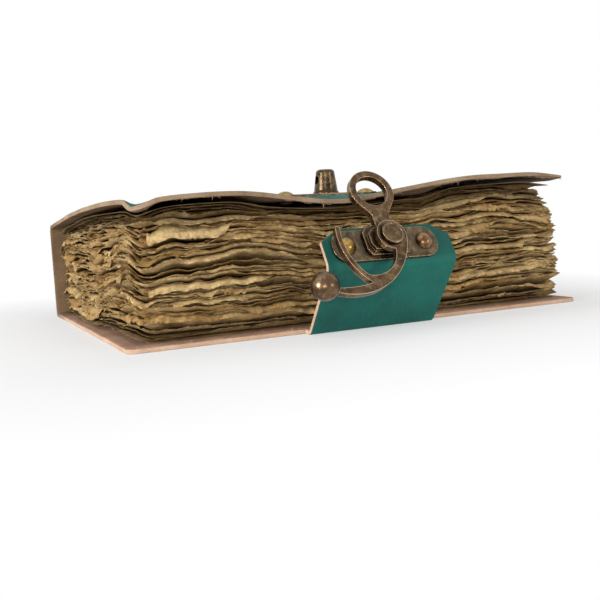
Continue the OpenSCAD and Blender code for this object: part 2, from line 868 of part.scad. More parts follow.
back_cover();
spine();
front_cover();
page_block();
strap();
strap_flap();
hasp_plate();
hasp();
hasp_rivet(-1);  // hasp_rivet_left
hasp_rivet(1);  // hasp_rivet_right
hasp_burr(-1);  // hasp_burr_left
hasp_burr(1);  // hasp_burr_right
pivot_rivet();
pivot_burr();
swing_hook();
post_plate();
post();
post_rivet(-1);  // post_rivet_left
post_rivet(1);  // post_rivet_right
post_burr(-1);  // post_burr_left
post_burr(1);  // post_burr_right
post_burr(0);  // post_burr_middle
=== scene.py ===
"""Looks of a deckle-edge notebook: a soft leather cover, torn-edge leaves and an antique brass clasp.

Lengths are in the part's own frame, in metres unless a docstring says millimetres. The back cover lies on the
floor, the fore-edge faces -Y, the spine faces +Y and the head of the leaves is at -X.
"""

import logging
import math
from dataclasses import dataclass
from enum import Enum

import bmesh
import bpy
import numpy as np
from mathutils import Matrix, Vector
from mathutils.bvhtree import BVHTree


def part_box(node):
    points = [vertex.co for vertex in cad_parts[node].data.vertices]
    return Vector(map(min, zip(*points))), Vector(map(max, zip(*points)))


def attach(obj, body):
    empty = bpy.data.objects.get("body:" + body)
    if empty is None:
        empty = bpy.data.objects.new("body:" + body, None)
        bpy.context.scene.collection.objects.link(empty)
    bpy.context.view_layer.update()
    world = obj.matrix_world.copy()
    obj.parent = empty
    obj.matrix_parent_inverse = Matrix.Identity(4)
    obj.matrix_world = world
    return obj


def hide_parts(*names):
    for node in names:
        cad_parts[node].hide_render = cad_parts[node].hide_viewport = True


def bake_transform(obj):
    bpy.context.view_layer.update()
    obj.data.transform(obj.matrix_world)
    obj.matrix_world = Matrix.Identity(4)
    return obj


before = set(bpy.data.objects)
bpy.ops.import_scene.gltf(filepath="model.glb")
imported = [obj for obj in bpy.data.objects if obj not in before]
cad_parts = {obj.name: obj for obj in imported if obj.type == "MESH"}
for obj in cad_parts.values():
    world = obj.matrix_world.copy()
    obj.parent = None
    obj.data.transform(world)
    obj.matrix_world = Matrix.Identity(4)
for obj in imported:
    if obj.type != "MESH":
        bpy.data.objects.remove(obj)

LOG = logging.getLogger("notebook")
MM = 0.001
WHITE = (1, 1, 1, 1)
Array = np.ndarray
BMesh = bmesh.types.BMesh
Material = bpy.types.Material
Piece = bpy.types.Object
Socket = bpy.types.NodeSocket


class Body(Enum):
    """The moving bodies that the pieces ride on."""

    BACK = "back"
    BLOCK = "block"
    FRONT = "front"
    STRAP = "strap"
    FLAP = "flap"
    HOOK = "hook"


class Slot(Enum):
    """The record's finishes."""

    LEATHER = "leather"
    PAPER = "paper"
    CAST = "cast_brass"
    RIVET = "rivet_brass"


# Shape helpers


def soft(t: Array) -> Array:
    """Smooth step from 0 to 1 as t runs from 0 to 1."""
    return (1 - np.cos(np.pi * np.clip(t, 0, 1))) / 2


def curve(points: tuple[tuple[float, float], ...], t: Array) -> Array:
    """Value at t of a curve through points, level at each of them.

    Args:
        points: places and values, in rising order of place.
        t: places to read.

    Returns:
        The values at t.
    """
    places = np.array([p[0] for p in points])
    values = np.array([p[1] for p in points])
    low = np.clip(np.searchsorted(places, t, side="right") - 1, 0, len(points) - 2)
    share = (t - places[low]) / (places[low + 1] - places[low])
    return values[low] + (values[low + 1] - values[low]) * soft(share)


class Ripple:
    """Seeded smooth noise along a run, for torn edges and waves."""

    def __init__(self, seed: int) -> None:
        """Starts the seeded draw."""
        self.draw = np.random.default_rng(seed)

    def along(self, run: Array, wavelength: float) -> Array:
        """Smooth noise from -1 to 1 along a run.

        Args:
            run: places along the run.
            wavelength: distance between its knots, in the run's unit.

        Returns:
            The noise at each place.
        """
        start = np.min(run)
        values = self.draw.uniform(-1, 1, int((np.max(run) - start) / wavelength) + 5)
        place = (run - start) / wavelength + 1 + self.draw.uniform(0, 1)
        low = np.floor(place).astype(int)
        share = soft(place - low)
        return values[low] * (1 - share) + values[low + 1] * share

    def layers(self, count: int, run: Array, wavelength: float) -> Array:
        """The same noise for several layers, one row each."""
        return np.array([self.along(run, wavelength) for _ in range(count)])


@dataclass(frozen=True)
class BookSizes:
    """Main sizes of the notebook, in millimetres and degrees.

    They are the solids' own, apart from the cover's waves and bent corner and the tail of the leaves, which
    follow the photograph more closely here. fore_wave and edge_drop hold pairs of a share of the length and a
    height. slack_rise, slack_fall and valley_end hold a place and the run over which the change takes place.
    """

    length: float = 178.0
    width: float = 127.0
    leather: float = 1.5
    corner: float = 3.0
    spine_wall: float = 35.9
    spine_split: float = 18.0
    shoulder: float = 4.0
    shoulder_turn: float = 74.0
    fore_rise: float = 5.8
    corner_dip: float = 2.0
    corner_reach: float = 8.0
    corner_valley: float = 1.8
    valley_way: tuple[float, float] = (0.25, 0.97)
    valley_flanks: tuple[float, float] = (2.3, 6.0)
    valley_start: float = 4.0
    valley_end: tuple[float, float] = (45.0, 40.0)
    head_share: float = 0.35
    head_fullness: float = 1.85
    fullness_gain: float = 1.15
    slack: float = 1.65
    slack_rise: tuple[float, float] = (2.0, 26.0)
    slack_fall: tuple[float, float] = (44.0, 24.0)
    head_skew: float = 5.5
    tail_skew: float = 5.0
    head_inset: float = 3.8
    head_slant: float = 3.2
    tail_inset: float = 3.7
    tail_slant: float = 4.0
    fore_inset: float = 2.2
    leaf_wave: float = 1.3
    air_back: float = 0.6
    air_front: float = 1.9
    air_onset: float = 0.7
    strap_width: float = 48.0
    strap_x: float = -5.0
    strap_reach: float = 3.5
    strap_rise: float = 26.9
    strap_lean: float = 35.5
    flap_length: float = 13.4
    flap_lean: float = 32.0
    chamfer_width: float = 6.5
    chamfer_height: float = 4.4
    clasp_x: float = -6.8
    post_inset: float = 23.5
    plate_length: float = 40.0
    plate_width: float = 11.0
    seat_margin: float = 7.5
    seat_fade: tuple[float, float] = (16.0, 10.0)
    seat_play: float = 0.01
    drop_run: float = 14.0
    fore_wave: tuple[tuple[float, float], ...] = (
        (0, 1.8), (0.19, 3.05), (0.445, 0), (0.77, 4.8), (0.87, 5), (1, 3.2),
    )
    edge_drop: tuple[tuple[float, float], ...] = (
        (0, 0), (0.22, 0.2), (0.4, 1.6), (0.445, 1.5), (0.5, 0.35), (0.56, -0.1), (0.86, -0.2), (1, 0),
    )

    @property
    def spine_y(self) -> float:
        """Outer face of the spine."""
        return self.width / 2

    @property
    def fore_y(self) -> float:
        """Fore-edge of the covers."""
        return -self.width / 2

    @property
    def seam(self) -> tuple[float, float]:
        """Y and Z of the line where the spine's shoulder hands over to the front cover."""
        turn = math.radians(self.shoulder_turn)
        return (
            self.spine_y - self.shoulder + self.shoulder * math.cos(turn),
            self.spine_wall + self.shoulder * math.sin(turn),
        )

    @property
    def post_y(self) -> float:
        """Place of the post."""
        return self.fore_y + self.post_inset

    def fullness(self, x: Array) -> Array:
        """How soon the cover reaches its rise: sooner past the head, later beyond the strap."""
        past_head = soft((x / self.length + 0.5) / self.head_share)
        (rise_x, rise_run), (fall_x, fall_run) = self.slack_rise, self.slack_fall
        slack = soft((x - rise_x) / rise_run) * (1 - soft((x - fall_x) / fall_run))
        return self.head_fullness + self.fullness_gain * past_head - self.slack * slack

    def corner_bends(self, x: Array, y: Array) -> tuple[Array, Array]:
        """How far the front cover's near corner dips, and the depth of the valley that runs in from it."""
        past_x, past_y = x + self.length / 2 - self.head_skew, y - self.fore_y
        dip = self.corner_dip * (1 - soft(np.hypot(past_x, past_y) / self.corner_reach))
        way_x, way_y = self.valley_way
        inward = way_x * past_x + way_y * past_y
        beside = way_y * past_x - way_x * past_y
        flank = np.exp(-((beside / np.where(beside < 0, *self.valley_flanks)) ** 2))
        end, end_run = self.valley_end
        depth = self.corner_valley * soft(inward / self.valley_start)
        return dip, depth * (1 - soft((inward - end) / end_run)) * flank

    def free_top(self, x: Array, y: Array) -> Array:
        """Height of the front cover's outer face as the leather alone would lie."""
        seam_y, seam_z = self.seam
        along = x / self.length + 0.5
        across = (seam_y - y) / (seam_y - self.fore_y)
        rise = self.fore_rise + curve(self.fore_wave, along)
        before_post = soft((self.post_y - self.plate_width / 2 - y) / self.drop_run)
        drop = curve(self.edge_drop, along) * before_post
        dip, valley = self.corner_bends(x, y)
        return seam_z + rise * (1 - np.clip(1 - across, 0, 1) ** self.fullness(x)) - drop - dip - valley

    def cover_top(self, x: Array, y: Array) -> Array:
        """Height of the front cover's outer face, flattened under the post plate."""
        past_x = np.abs(x - self.clasp_x) - self.plate_length / 2 - self.seat_margin
        past_y = np.abs(y - self.post_y) - self.plate_width / 2 - self.seat_margin
        hold = (1 - soft(past_x / self.seat_fade[0])) * (1 - soft(past_y / self.seat_fade[1]))
        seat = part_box("post_plate")[0][2] / MM
        return self.free_top(x, y) * (1 - hold) + (seat - self.seat_play) * hold

    def pages_top(self, x: Array, y: Array) -> Array:
        """Height of the top leaf under the front cover."""
        seam_y = self.seam[0]
        front = soft((self.spine_y - y) / self.width * 2 - self.air_onset)
        bound = soft((y - seam_y + self.leather) / self.leather)
        air = self.air_back + (self.air_front - self.air_back) * front
        return self.cover_top(x, np.minimum(y, seam_y)) - self.leather - air - self.leather * bound


class Trail:
    """A path in the YZ plane walked ahead and round bends, with the normal to its left, in millimetres."""

    def __init__(self, y: float, z: float, heading: float) -> None:
        """Starts at a point with a heading in degrees from +Y towards +Z."""
        self.place = np.array([y, z], float)
        self.heading = math.radians(heading)
        self.points: list[Array] = [self.place]
        self.normals: list[Array] = [self.left()]

    def left(self) -> Array:
        """Unit vector to the left of the way ahead."""
        return np.array([-math.sin(self.heading), math.cos(self.heading)])

    def reach(self, place: Array) -> None:
        """Steps to a point and keeps it with its normal."""
        self.place = place
        self.points.append(place)
        self.normals.append(self.left())

    def ahead(self, length: float, rows: int) -> "Trail":
        """Walks straight on."""
        step = np.array([math.cos(self.heading), math.sin(self.heading)]) * length / rows
        for _ in range(rows):
            self.reach(self.place + step)
        return self

    def bend(self, radius: float, turn: float, rows: int) -> "Trail":
        """Walks round a bend: turn is in degrees, to the left when positive."""
        side = math.copysign(1, turn)
        center = self.place + self.left() * radius * side
        for _ in range(rows):
            self.heading += math.radians(turn) / rows
            self.reach(center - self.left() * radius * side)
        return self

    def arrays(self) -> tuple[Array, Array]:
        """The points and the normals, one row each."""
        return np.array(self.points), np.array(self.normals)

    def side(self, x: Array, offset: float, pull: Array | float = 0.0) -> Array:
        """Grid of points beside the path.

        Args:
            x: places along X, one row for each point of the path.
            offset: distance from the path, to its left when positive.
            pull: how far the points are moved along Y.

        Returns:
            The points, as rows, columns, 3.
        """
        points, normals = self.arrays()
        at = points + offset * normals
        return np.dstack([x, at[:, 0, None] + pull + 0 * x, at[:, 1, None] + 0 * x])


# Mesh helpers


def grid_index(vert: bmesh.types.BMVert, columns: int, rows: int) -> tuple[int, int]:
    """Row and column of a vertex of a fresh grid of side 1 round the origin."""
    return round((vert.co.y + 0.5) * rows), round((vert.co.x + 0.5) * columns)


@dataclass
class SheetFaces:
    """The faces of a closed sheet: its two sides and its rim."""

    upper: list[bmesh.types.BMFace]
    lower: list[bmesh.types.BMFace]
    rim: list[bmesh.types.BMFace]


def closed_sheet(bm: BMesh, upper: Array, lower: Array) -> tuple[SheetFaces, dict]:
    """Adds a closed sheet between two grids of points.

    Args:
        bm: mesh to add to.
        upper: points of the upper side in metres, as rows, columns, 3.
        lower: points of the lower side, of the same shape.

    Returns:
        The faces, and the row and column of each vertex with True for the upper side.
    """
    rows, columns = upper.shape[0] - 1, upper.shape[1] - 1
    made = bmesh.ops.create_grid(bm, x_segments=columns, y_segments=rows, size=0.5)
    verts = made["verts"]
    base = list({f for v in verts for f in v.link_faces})
    grown = bmesh.ops.extrude_face_region(bm, geom=base, use_keep_orig=True)["geom"]
    top_verts = [g for g in grown if isinstance(g, bmesh.types.BMVert)]
    top_faces = [g for g in grown if isinstance(g, bmesh.types.BMFace)]
    where = {}
    for group, points, is_upper in ((top_verts, upper, True), (verts, lower, False)):
        for vert in group:
            row, column = grid_index(vert, columns, rows)
            where[vert] = (row, column, is_upper)
            vert.co = points[row, column]
    known = set(top_faces) | set(base)
    rim = list({f for v in verts for f in v.link_faces} - known)
    bmesh.ops.recalc_face_normals(bm, faces=top_faces + base + rim)
    return SheetFaces(top_faces, base, rim), where


def new_piece(name: str, bm: BMesh, finishes: list[Material]) -> Piece:
    """Makes an object of a mesh, smooth, at the origin.

    Args:
        name: name of the piece.
        bm: its mesh, which is freed.
        finishes: its materials, in the order of the faces' numbers.

    Returns:
        The new object, linked to the scene.
    """
    mesh = bpy.data.meshes.new(name)
    bm.to_mesh(mesh)
    bm.free()
    for finish in finishes:
        mesh.materials.append(finish)
    mesh.polygons.foreach_set("use_smooth", [True] * len(mesh.polygons))
    mesh.update()
    piece = bpy.data.objects.new(name, mesh)
    bpy.context.scene.collection.objects.link(piece)
    LOG.info("%s: %d faces", name, len(mesh.polygons))
    return piece


# Finishes


class Nodes:
    """Builds a tree of shader nodes."""

    def __init__(self, tree: bpy.types.NodeTree) -> None:
        """Empties the tree."""
        self.tree = tree
        tree.nodes.clear()

    def feed(self, socket: Socket, value: object) -> None:
        """Gives a socket a value or a link, or leaves it when the value is None."""
        if isinstance(value, Socket):
            self.tree.links.new(value, socket)
        elif value is not None:
            socket.default_value = value

    def node(self, kind: str, *links: object, **settings: object) -> bpy.types.Node:
        """Adds a node.

        Args:
            kind: the node's type name after ShaderNode.
            links: values or sockets for its first inputs, None to leave one as it is.
            settings: properties of the node.

        Returns:
            The node.
        """
        made = self.tree.nodes.new("ShaderNode" + kind)
        for name, value in settings.items():
            setattr(made, name, value)
        for socket, value in zip(made.inputs, links):
            self.feed(socket, value)
        return made

    def fill(self, node: bpy.types.Node, **values: object) -> bpy.types.Node:
        """Gives a node's inputs values or links by name, with underscores for spaces."""
        for name, value in values.items():
            self.feed(node.inputs[name.replace("_", " ")], value)
        return node

    def sum(self, a: object, b: object, kind: str = "ADD") -> Socket:
        """Two values joined by a Math node."""
        return self.node("Math", a, b, operation=kind).outputs[0]

    def seen(self) -> Socket:
        """1 for what the camera sees, mirrored or through glass too, 0 for what only gives light."""
        path = self.node("LightPath").outputs
        seen = self.sum(path["Is Camera Ray"], path["Is Glossy Ray"], "MAXIMUM")
        return self.sum(seen, path["Is Transmission Ray"], "MAXIMUM")


class Shader(Nodes):
    """Builds one material's nodes round a Principled shader."""

    def __init__(self, name: str) -> None:
        """Starts an empty material with a Principled shader and its output."""
        self.material = bpy.data.materials.new(name)
        self.material.use_nodes = True
        super().__init__(self.material.node_tree)
        self.skin = self.node("BsdfPrincipled")
        self.output = self.node("OutputMaterial", self.skin.outputs[0])
        self.object_place = self.node("TexCoord").outputs["Object"]

    def give(self, **values: object) -> None:
        """Gives inputs of the Principled shader values or links."""
        self.fill(self.skin, **values)

    def place(self, stretch: tuple[float, float, float]) -> Socket:
        """Object coordinates, stretched."""
        return self.fill(self.node("Mapping", self.object_place), Scale=stretch).outputs[0]

    def noise(
        self, scale: float, detail: float = 4, rough: float = 0.55, where: Socket | None = None,
        warp: float = 0,
    ) -> Socket:
        """Noise of about 0 to 1; scale is in cells for each metre."""
        made = self.fill(self.node("TexNoise"), Vector=where or self.object_place, Scale=scale)
        return self.fill(made, Detail=detail, Roughness=rough, Distortion=warp).outputs["Fac"]

    def cells(self, scale: float) -> Socket:
        """Distance to the nearest point of a random scatter."""
        return self.fill(self.node("TexVoronoi"), Vector=self.object_place, Scale=scale).outputs["Distance"]

    def along(self, axis: str) -> Socket:
        """One of the object coordinates, X, Y or Z."""
        return self.node("SeparateXYZ", self.object_place).outputs[axis]

    def remap(self, value: object, low: float, high: float, to_low: float = 0, to_high: float = 1) -> Socket:
        """Maps a range of values to another, clamped."""
        return self.node("MapRange", value, low, high, to_low, to_high).outputs[0]

    def mix(self, share: object, a: object, b: object) -> Socket:
        """Two colours mixed."""
        made = self.node("Mix", data_type="RGBA")
        colours = [s for s in made.inputs if s.type == "RGBA"]
        for socket, value in ((made.inputs[0], share), (colours[0], a), (colours[1], b)):
            self.feed(socket, value)
        return next(s for s in made.outputs if s.type == "RGBA")

    def layer(self, name: str) -> Socket:
        """A value that the piece's own vertices carry."""
        return self.node("Attribute", attribute_name=name).outputs["Fac"]

    def bump(self, height: object, distance: float, strength: float = 1.0, under: object = None) -> Socket:
        """Turns a height into a normal, over another one if given."""
        made = self.node("Bump")
        return self.fill(made, Strength=strength, Distance=distance, Height=height, Normal=under).outputs[0]


def rgba(red: float, green: float, blue: float) -> tuple[float, float, float, float]:
    """A colour given in screen values from 0 to 255, as a linear one."""
    def line(value: float) -> float:
        """One channel."""
        share = value / 255
        return share / 12.92 if share <= 0.04045 else ((share + 0.055) / 1.055) ** 2.4

    return (line(red), line(green), line(blue), 1.0)


@dataclass(frozen=True)
class GrainLeather:
    """Dyed grain side of the leather: matt, finely ribbed, with soft clouds in the dye, and with painted
    shade above a set height when its shade share is above 0.
    """

    name: str = "teal_grain_leather"
    painted_shade: float = 0.0
    deep: tuple = rgba(2, 70, 63)
    fresh: tuple = rgba(10, 97, 86)
    worn: tuple = rgba(34, 112, 99)
    shaded_teal: tuple = rgba(0, 52, 47)

    def build(self) -> Material:
        """Makes the material."""
        s = Shader(self.name)
        clouds = s.noise(38, 5, 0.6)
        tone = s.mix(s.remap(clouds, 0.35, 0.68), self.deep, self.fresh)
        ribs = s.noise(3000, 2, 0.5, s.place((1, 0.1, 0.1)))
        tone = s.mix(s.remap(ribs, 0.46, 0.66, 0, 0.22), tone, self.worn)
        scuffs = s.remap(s.noise(260, 6, 0.7, s.place((1, 0.35, 1))), 0.62, 0.8)
        tone = s.mix(s.sum(scuffs, 0.3, "MULTIPLY"), tone, self.worn)
        # Painted shade: above a set height, the flap, the colour is darkened towards a shaded teal by the
        # shade share.
        height = s.along("Z")
        s.give(Base_Color=s.mix(s.remap(height, 0.0222, 0.026, 0, self.painted_shade), tone, self.shaded_teal))
        s.give(Roughness=s.remap(s.noise(300, 4), 0.3, 0.7, 0.55, 0.72))
        skin = s.bump(s.sum(s.cells(2300), s.noise(900, 5, 0.62)), 0.0001, 0.5)
        skin = s.bump(ribs, 0.00007, 0.5, skin)
        s.give(Normal=s.bump(s.noise(120, 3), 0.0004, 0.5, skin))
        s.give(Specular_IOR_Level=0.3)
        return s.material


@dataclass(frozen=True)
class Suede:
    """Flesh side and cut edges of the leather: undyed, fibrous, pinkish tan, darkened towards the spine by
    painted shade.
    """

    name: str
    dark: tuple
    mid: tuple
    pale: tuple
    fibre: float = 0.00025
    spine_shade_dark: tuple = rgba(100, 80, 60)
    spine_shade_light: tuple = rgba(128, 105, 80)

    def build(self) -> Material:
        """Makes the material."""
        s = Shader(self.name)
        clouds = s.noise(70, 5, 0.6)
        base = s.mix(s.remap(clouds, 0.3, 0.7), self.mid, self.pale)
        fibres = s.noise(1500, 6, 0.75, s.place((0.4, 1, 1.6)))
        toned = s.mix(s.remap(fibres, 0.48, 0.3, 0, 0.7), base, self.dark)
        # Painted shade: towards the spine, where the leather faces away from the lamps, the colour turns
        # darker.
        spine_shade = s.mix(s.remap(s.sum(clouds, fibres), 0.8, 1.2), self.spine_shade_dark, self.spine_shade_light)
        to_spine = s.along("Y")
        s.give(Base_Color=s.mix(s.remap(to_spine, 0.04, 0.0605), toned, spine_shade))
        s.give(Roughness=0.92, Specular_IOR_Level=0.15)
        s.give(Normal=s.bump(s.sum(fibres, s.noise(420, 4)), self.fibre, 0.8))
        return s.material


@dataclass(frozen=True)
class TornPaper:
    """Tea-stained handmade paper: mottled, fibrous, darker along its torn rim, with painted shade between the
    leaves.
    """

    pale: tuple = rgba(212, 183, 130)
    mid: tuple = rgba(160, 125, 74)
    stain: tuple = rgba(110, 77, 39)
    rim: tuple = rgba(96, 68, 36)
    # Colour of the painted shade between the leaves.
    deep: tuple = rgba(40, 28, 17)

    def build(self) -> Material:
        """Makes the material."""
        s = Shader("torn_handmade_paper")
        clouds = s.noise(95, 6, 0.62)
        depth = s.remap(s.sum(clouds, s.remap(s.layer("tone"), 0, 1, -0.26, 0.26)), 0.28, 0.7)
        base = s.mix(depth, self.mid, self.pale)
        stains = s.remap(s.noise(230, 7, 0.7, s.place((0.55, 0.55, 1.5)), 0.6), 0.5, 0.68)
        base = s.mix(s.sum(stains, 0.65, "MULTIPLY"), base, self.stain)
        flecks = s.remap(s.noise(850, 6, 0.7, s.place((0.7, 0.7, 1)), 0.5), 0.52, 0.66)
        base = s.mix(s.sum(flecks, 0.45, "MULTIPLY"), base, self.stain)
        rim = s.sum(s.layer("rim"), s.remap(s.noise(600, 4), 0.35, 0.6), "MULTIPLY")
        base = s.mix(s.sum(rim, 0.7, "MULTIPLY"), base, self.rim)
        # Painted shade: the inside layer darkens the faces that lie between and under other leaves.
        s.give(Base_Color=s.mix(s.sum(s.layer("inside"), 0.88, "MULTIPLY"), base, self.deep))
        s.give(Roughness=0.95, Specular_IOR_Level=0.12)
        pulp = s.noise(1300, 7, 0.7)
        crumple = s.noise(330, 4, 0.6)
        s.give(Normal=s.bump(crumple, 0.0016, 0.7, s.bump(pulp, 0.0003, 0.9)))
        return s.material


@dataclass(frozen=True)
class AgedBrass:
    """Antiqued cast brass: darker where parts crowd each other, by grime and painted shade, rubbed bright on
    high spots, and lighter on edges, partly rubbed and partly painted highlight.
    """

    name: str
    dark: tuple
    body: tuple
    bright: tuple
    wear: float
    edge: float = 0.0004

    def build(self) -> Material:
        """Makes the material."""
        s = Shader(self.name)
        clouds = s.noise(240, 6, 0.62)
        specks = s.noise(1500, 5, 0.7)
        base = s.mix(s.remap(clouds, 0.36, 0.62), self.dark, self.body)
        base = s.mix(s.remap(specks, 0.6, 0.72, 0, 0.35), base, self.dark)
        rounded = s.node("Bevel", samples=6)
        rounded.inputs["Radius"].default_value = self.edge
        plain = s.node("NewGeometry").outputs["Normal"]
        facing = s.node("VectorMath", rounded.outputs[0], plain, operation="DOT_PRODUCT").outputs["Value"]
        # Edges lighter: partly rubbed wear, partly painted highlight.
        edges = s.sum(s.remap(facing, 0.99, 0.9), s.remap(specks, 0.22, 0.4, 0.4), "MULTIPLY")
        rubbed = s.sum(s.remap(s.noise(420, 5, 0.6), 0.5, 0.72), self.wear, "MULTIPLY")
        rubbed_and_highlit = s.mix(s.sum(edges, rubbed, "MAXIMUM"), base, self.bright)
        # Grime and painted shade: the crowded share, found by casting rays round each vertex, darkens the
        # colour.
        grime_and_shade = s.remap(s.layer("grime_and_shade"), 0.12, 0.62, 0, 0.85)
        s.give(Base_Color=s.mix(grime_and_shade, rubbed_and_highlit, rgba(30, 23, 17)))
        s.give(Metallic=0.9, Specular_IOR_Level=0.4)
        s.give(Roughness=s.remap(s.sum(clouds, specks), 0.7, 1.3, 0.17, 0.32))
        s.give(Normal=s.bump(s.sum(s.noise(520, 4), specks), 0.00008, 0.4))
        return s.material


class Finishes:
    """All the finishes of the notebook, each made once."""

    def __init__(self) -> None:
        """Builds the materials."""
        self.grain = GrainLeather().build()
        # A copy of the grain finish with painted shade on the flap, which stands higher.
        self.flap = GrainLeather("teal_grain_flap_painted_shade", 0.5).build()
        self.flesh = self.suede("suede_flesh_side", (104, 74, 58), (164, 128, 106), (194, 160, 136))
        self.cut = self.suede("cut_leather_edge", (130, 96, 74), (182, 147, 120), (208, 178, 152))
        self.paper = TornPaper().build()
        self.edge = self.suede("dyed_cut_edge", (92, 72, 54), (128, 106, 82), (164, 140, 114))
        # Painted shade: a darker copy of the flesh side for the front cover's underside, which lies in shade
        # under the cover.
        self.flesh_painted_shade = self.suede("shaded_flesh_side", (62, 48, 37), (100, 80, 62), (130, 107, 85))
        self.cast = self.brass("antiqued_cast_brass", 0.24, (66, 50, 37), (110, 87, 62), (228, 198, 158))
        # Painted shade: a darker copy of the cast finish, for the post.
        self.shaded_cast = self.brass("shaded_cast_brass", 0.22, (46, 37, 26), (86, 70, 49), (190, 164, 124))
        self.plate = self.brass("antiqued_brass_plate", 0.26, (60, 50, 40), (106, 90, 67), (196, 170, 132))
        self.rivet = self.brass("rubbed_brass", 0.6, (86, 66, 32), (152, 120, 60), (232, 198, 122))
        self.copper = self.brass("coppery_brass", 0.4, (58, 40, 28), (118, 86, 56), (222, 184, 140))

    @staticmethod
    def suede(name: str, *tones: tuple[int, int, int]) -> Material:
        """Flesh side or cut edge of leather, from its dark, middle and pale tones."""
        return Suede(name, *(rgba(*tone) for tone in tones)).build()

    @staticmethod
    def brass(name: str, wear: float, *tones: tuple[int, int, int]) -> Material:
        """Aged brass, from how far its surfaces are rubbed and from its dark, middle and bright tones."""
        return AgedBrass(name, *(rgba(*tone) for tone in tones), wear).build()

    @property
    def leather(self) -> list[Material]:
        """The leather's three finishes, in the order of the sheet's faces."""
        return [self.grain, self.flesh, self.cut]


# Leather


def dress_leather(
    bm: BMesh, faces: SheetFaces, where: dict, round_off: float = 0.3, joins: tuple[int, ...] = ()
) -> None:
    """Numbers the faces of a leather sheet for its finishes and rounds its rim.

    Args:
        bm: the sheet.
        faces: its faces, with the grain side as the upper one.
        where: row, column and side of each vertex.
        round_off: size of the rounding, in millimetres.
        joins: rows at which the sheet runs on in another piece, left square so that no line shows there.
    """
    joined_faces = [f for f in faces.rim if all(where[v][0] in joins for v in f.verts)]
    for number, group in enumerate((faces.upper, faces.lower, faces.rim)):
        for face in group:
            face.material_index = number
    rim = set(faces.rim)
    border = {e for f in rim for e in f.edges if any(g not in rim for g in e.link_faces)}
    joined = {e for e in border if all(where[v][0] in joins for v in e.verts)}
    for edge in joined:
        edge.smooth = False
    for face in joined_faces:
        face.material_index = 0
    round_edges(bm, list(border - joined), round_off, 2)


def round_edges(bm: BMesh, edges: list[bmesh.types.BMEdge], radius: float, segments: int) -> None:
    """Rounds edges by a radius in millimetres."""
    bmesh.ops.bevel(
        bm, geom=edges, offset=radius * MM, segments=segments, profile=0.5, affect="EDGES", material=-1,
        clamp_overlap=True,
    )


def corner_draw(past: Array, radius: float) -> Array:
    """How far a row is drawn in at a round corner, for its distance past the corner's start."""
    inside = np.clip(past, 0, radius)
    return radius - np.sqrt(radius * radius - inside * inside)


@dataclass
class LeatherBack:
    """Back cover and the lower part of the spine, one strip of leather."""

    columns: int = 124
    foot: float = 1.4
    rim: float = 3.0
    ragged: float = 0.16
    fore_ragged: float = 0.14
    plain: float = 3.5
    sizes: BookSizes = BookSizes()

    def build(self, finishes: Finishes) -> Piece:
        """Makes the strip."""
        z = self.sizes
        half = z.leather / 2
        trail = Trail(z.fore_y, half, 0).ahead(self.rim, 8)
        trail.ahead(z.width - half - self.foot - self.rim, 62).bend(self.foot, 90, 10)
        trail.ahead(z.spine_split - half - self.foot, 14)
        y = trail.arrays()[0][:, 0]
        ripple = Ripple(5)
        reach = z.length / 2 - corner_draw(z.fore_y + z.corner - y, z.corner)
        ends = []
        for side in (-1, 1):
            wander = self.ragged * ripple.along(y, 9) - self.ragged
            ends.append(side * (reach + wander * (y < z.spine_y - self.plain)))
        share = np.linspace(0, 1, self.columns + 1)
        x = ends[0][:, None] * (1 - share) + ends[1][:, None] * share
        past_strap = np.abs((share - 0.5) * z.length - z.strap_x) - z.strap_width / 2 - 0.3
        ragged = self.fore_ragged * ripple.along(share * z.length, 11) + self.fore_ragged
        in_rim = np.clip(1 - (y - z.fore_y) / self.rim, 0, 1)[:, None]
        pull = in_rim * (ragged * soft(past_strap / self.rim))
        bm = bmesh.new()
        faces, where = closed_sheet(bm, trail.side(x, -half, pull) * MM, trail.side(x, half, pull) * MM)
        dress_leather(bm, faces, where, joins=(len(y) - 1,))
        piece = new_piece("leather_back", bm, finishes.leather)
        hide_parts("back_cover", "spine")
        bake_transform(piece)
        return piece


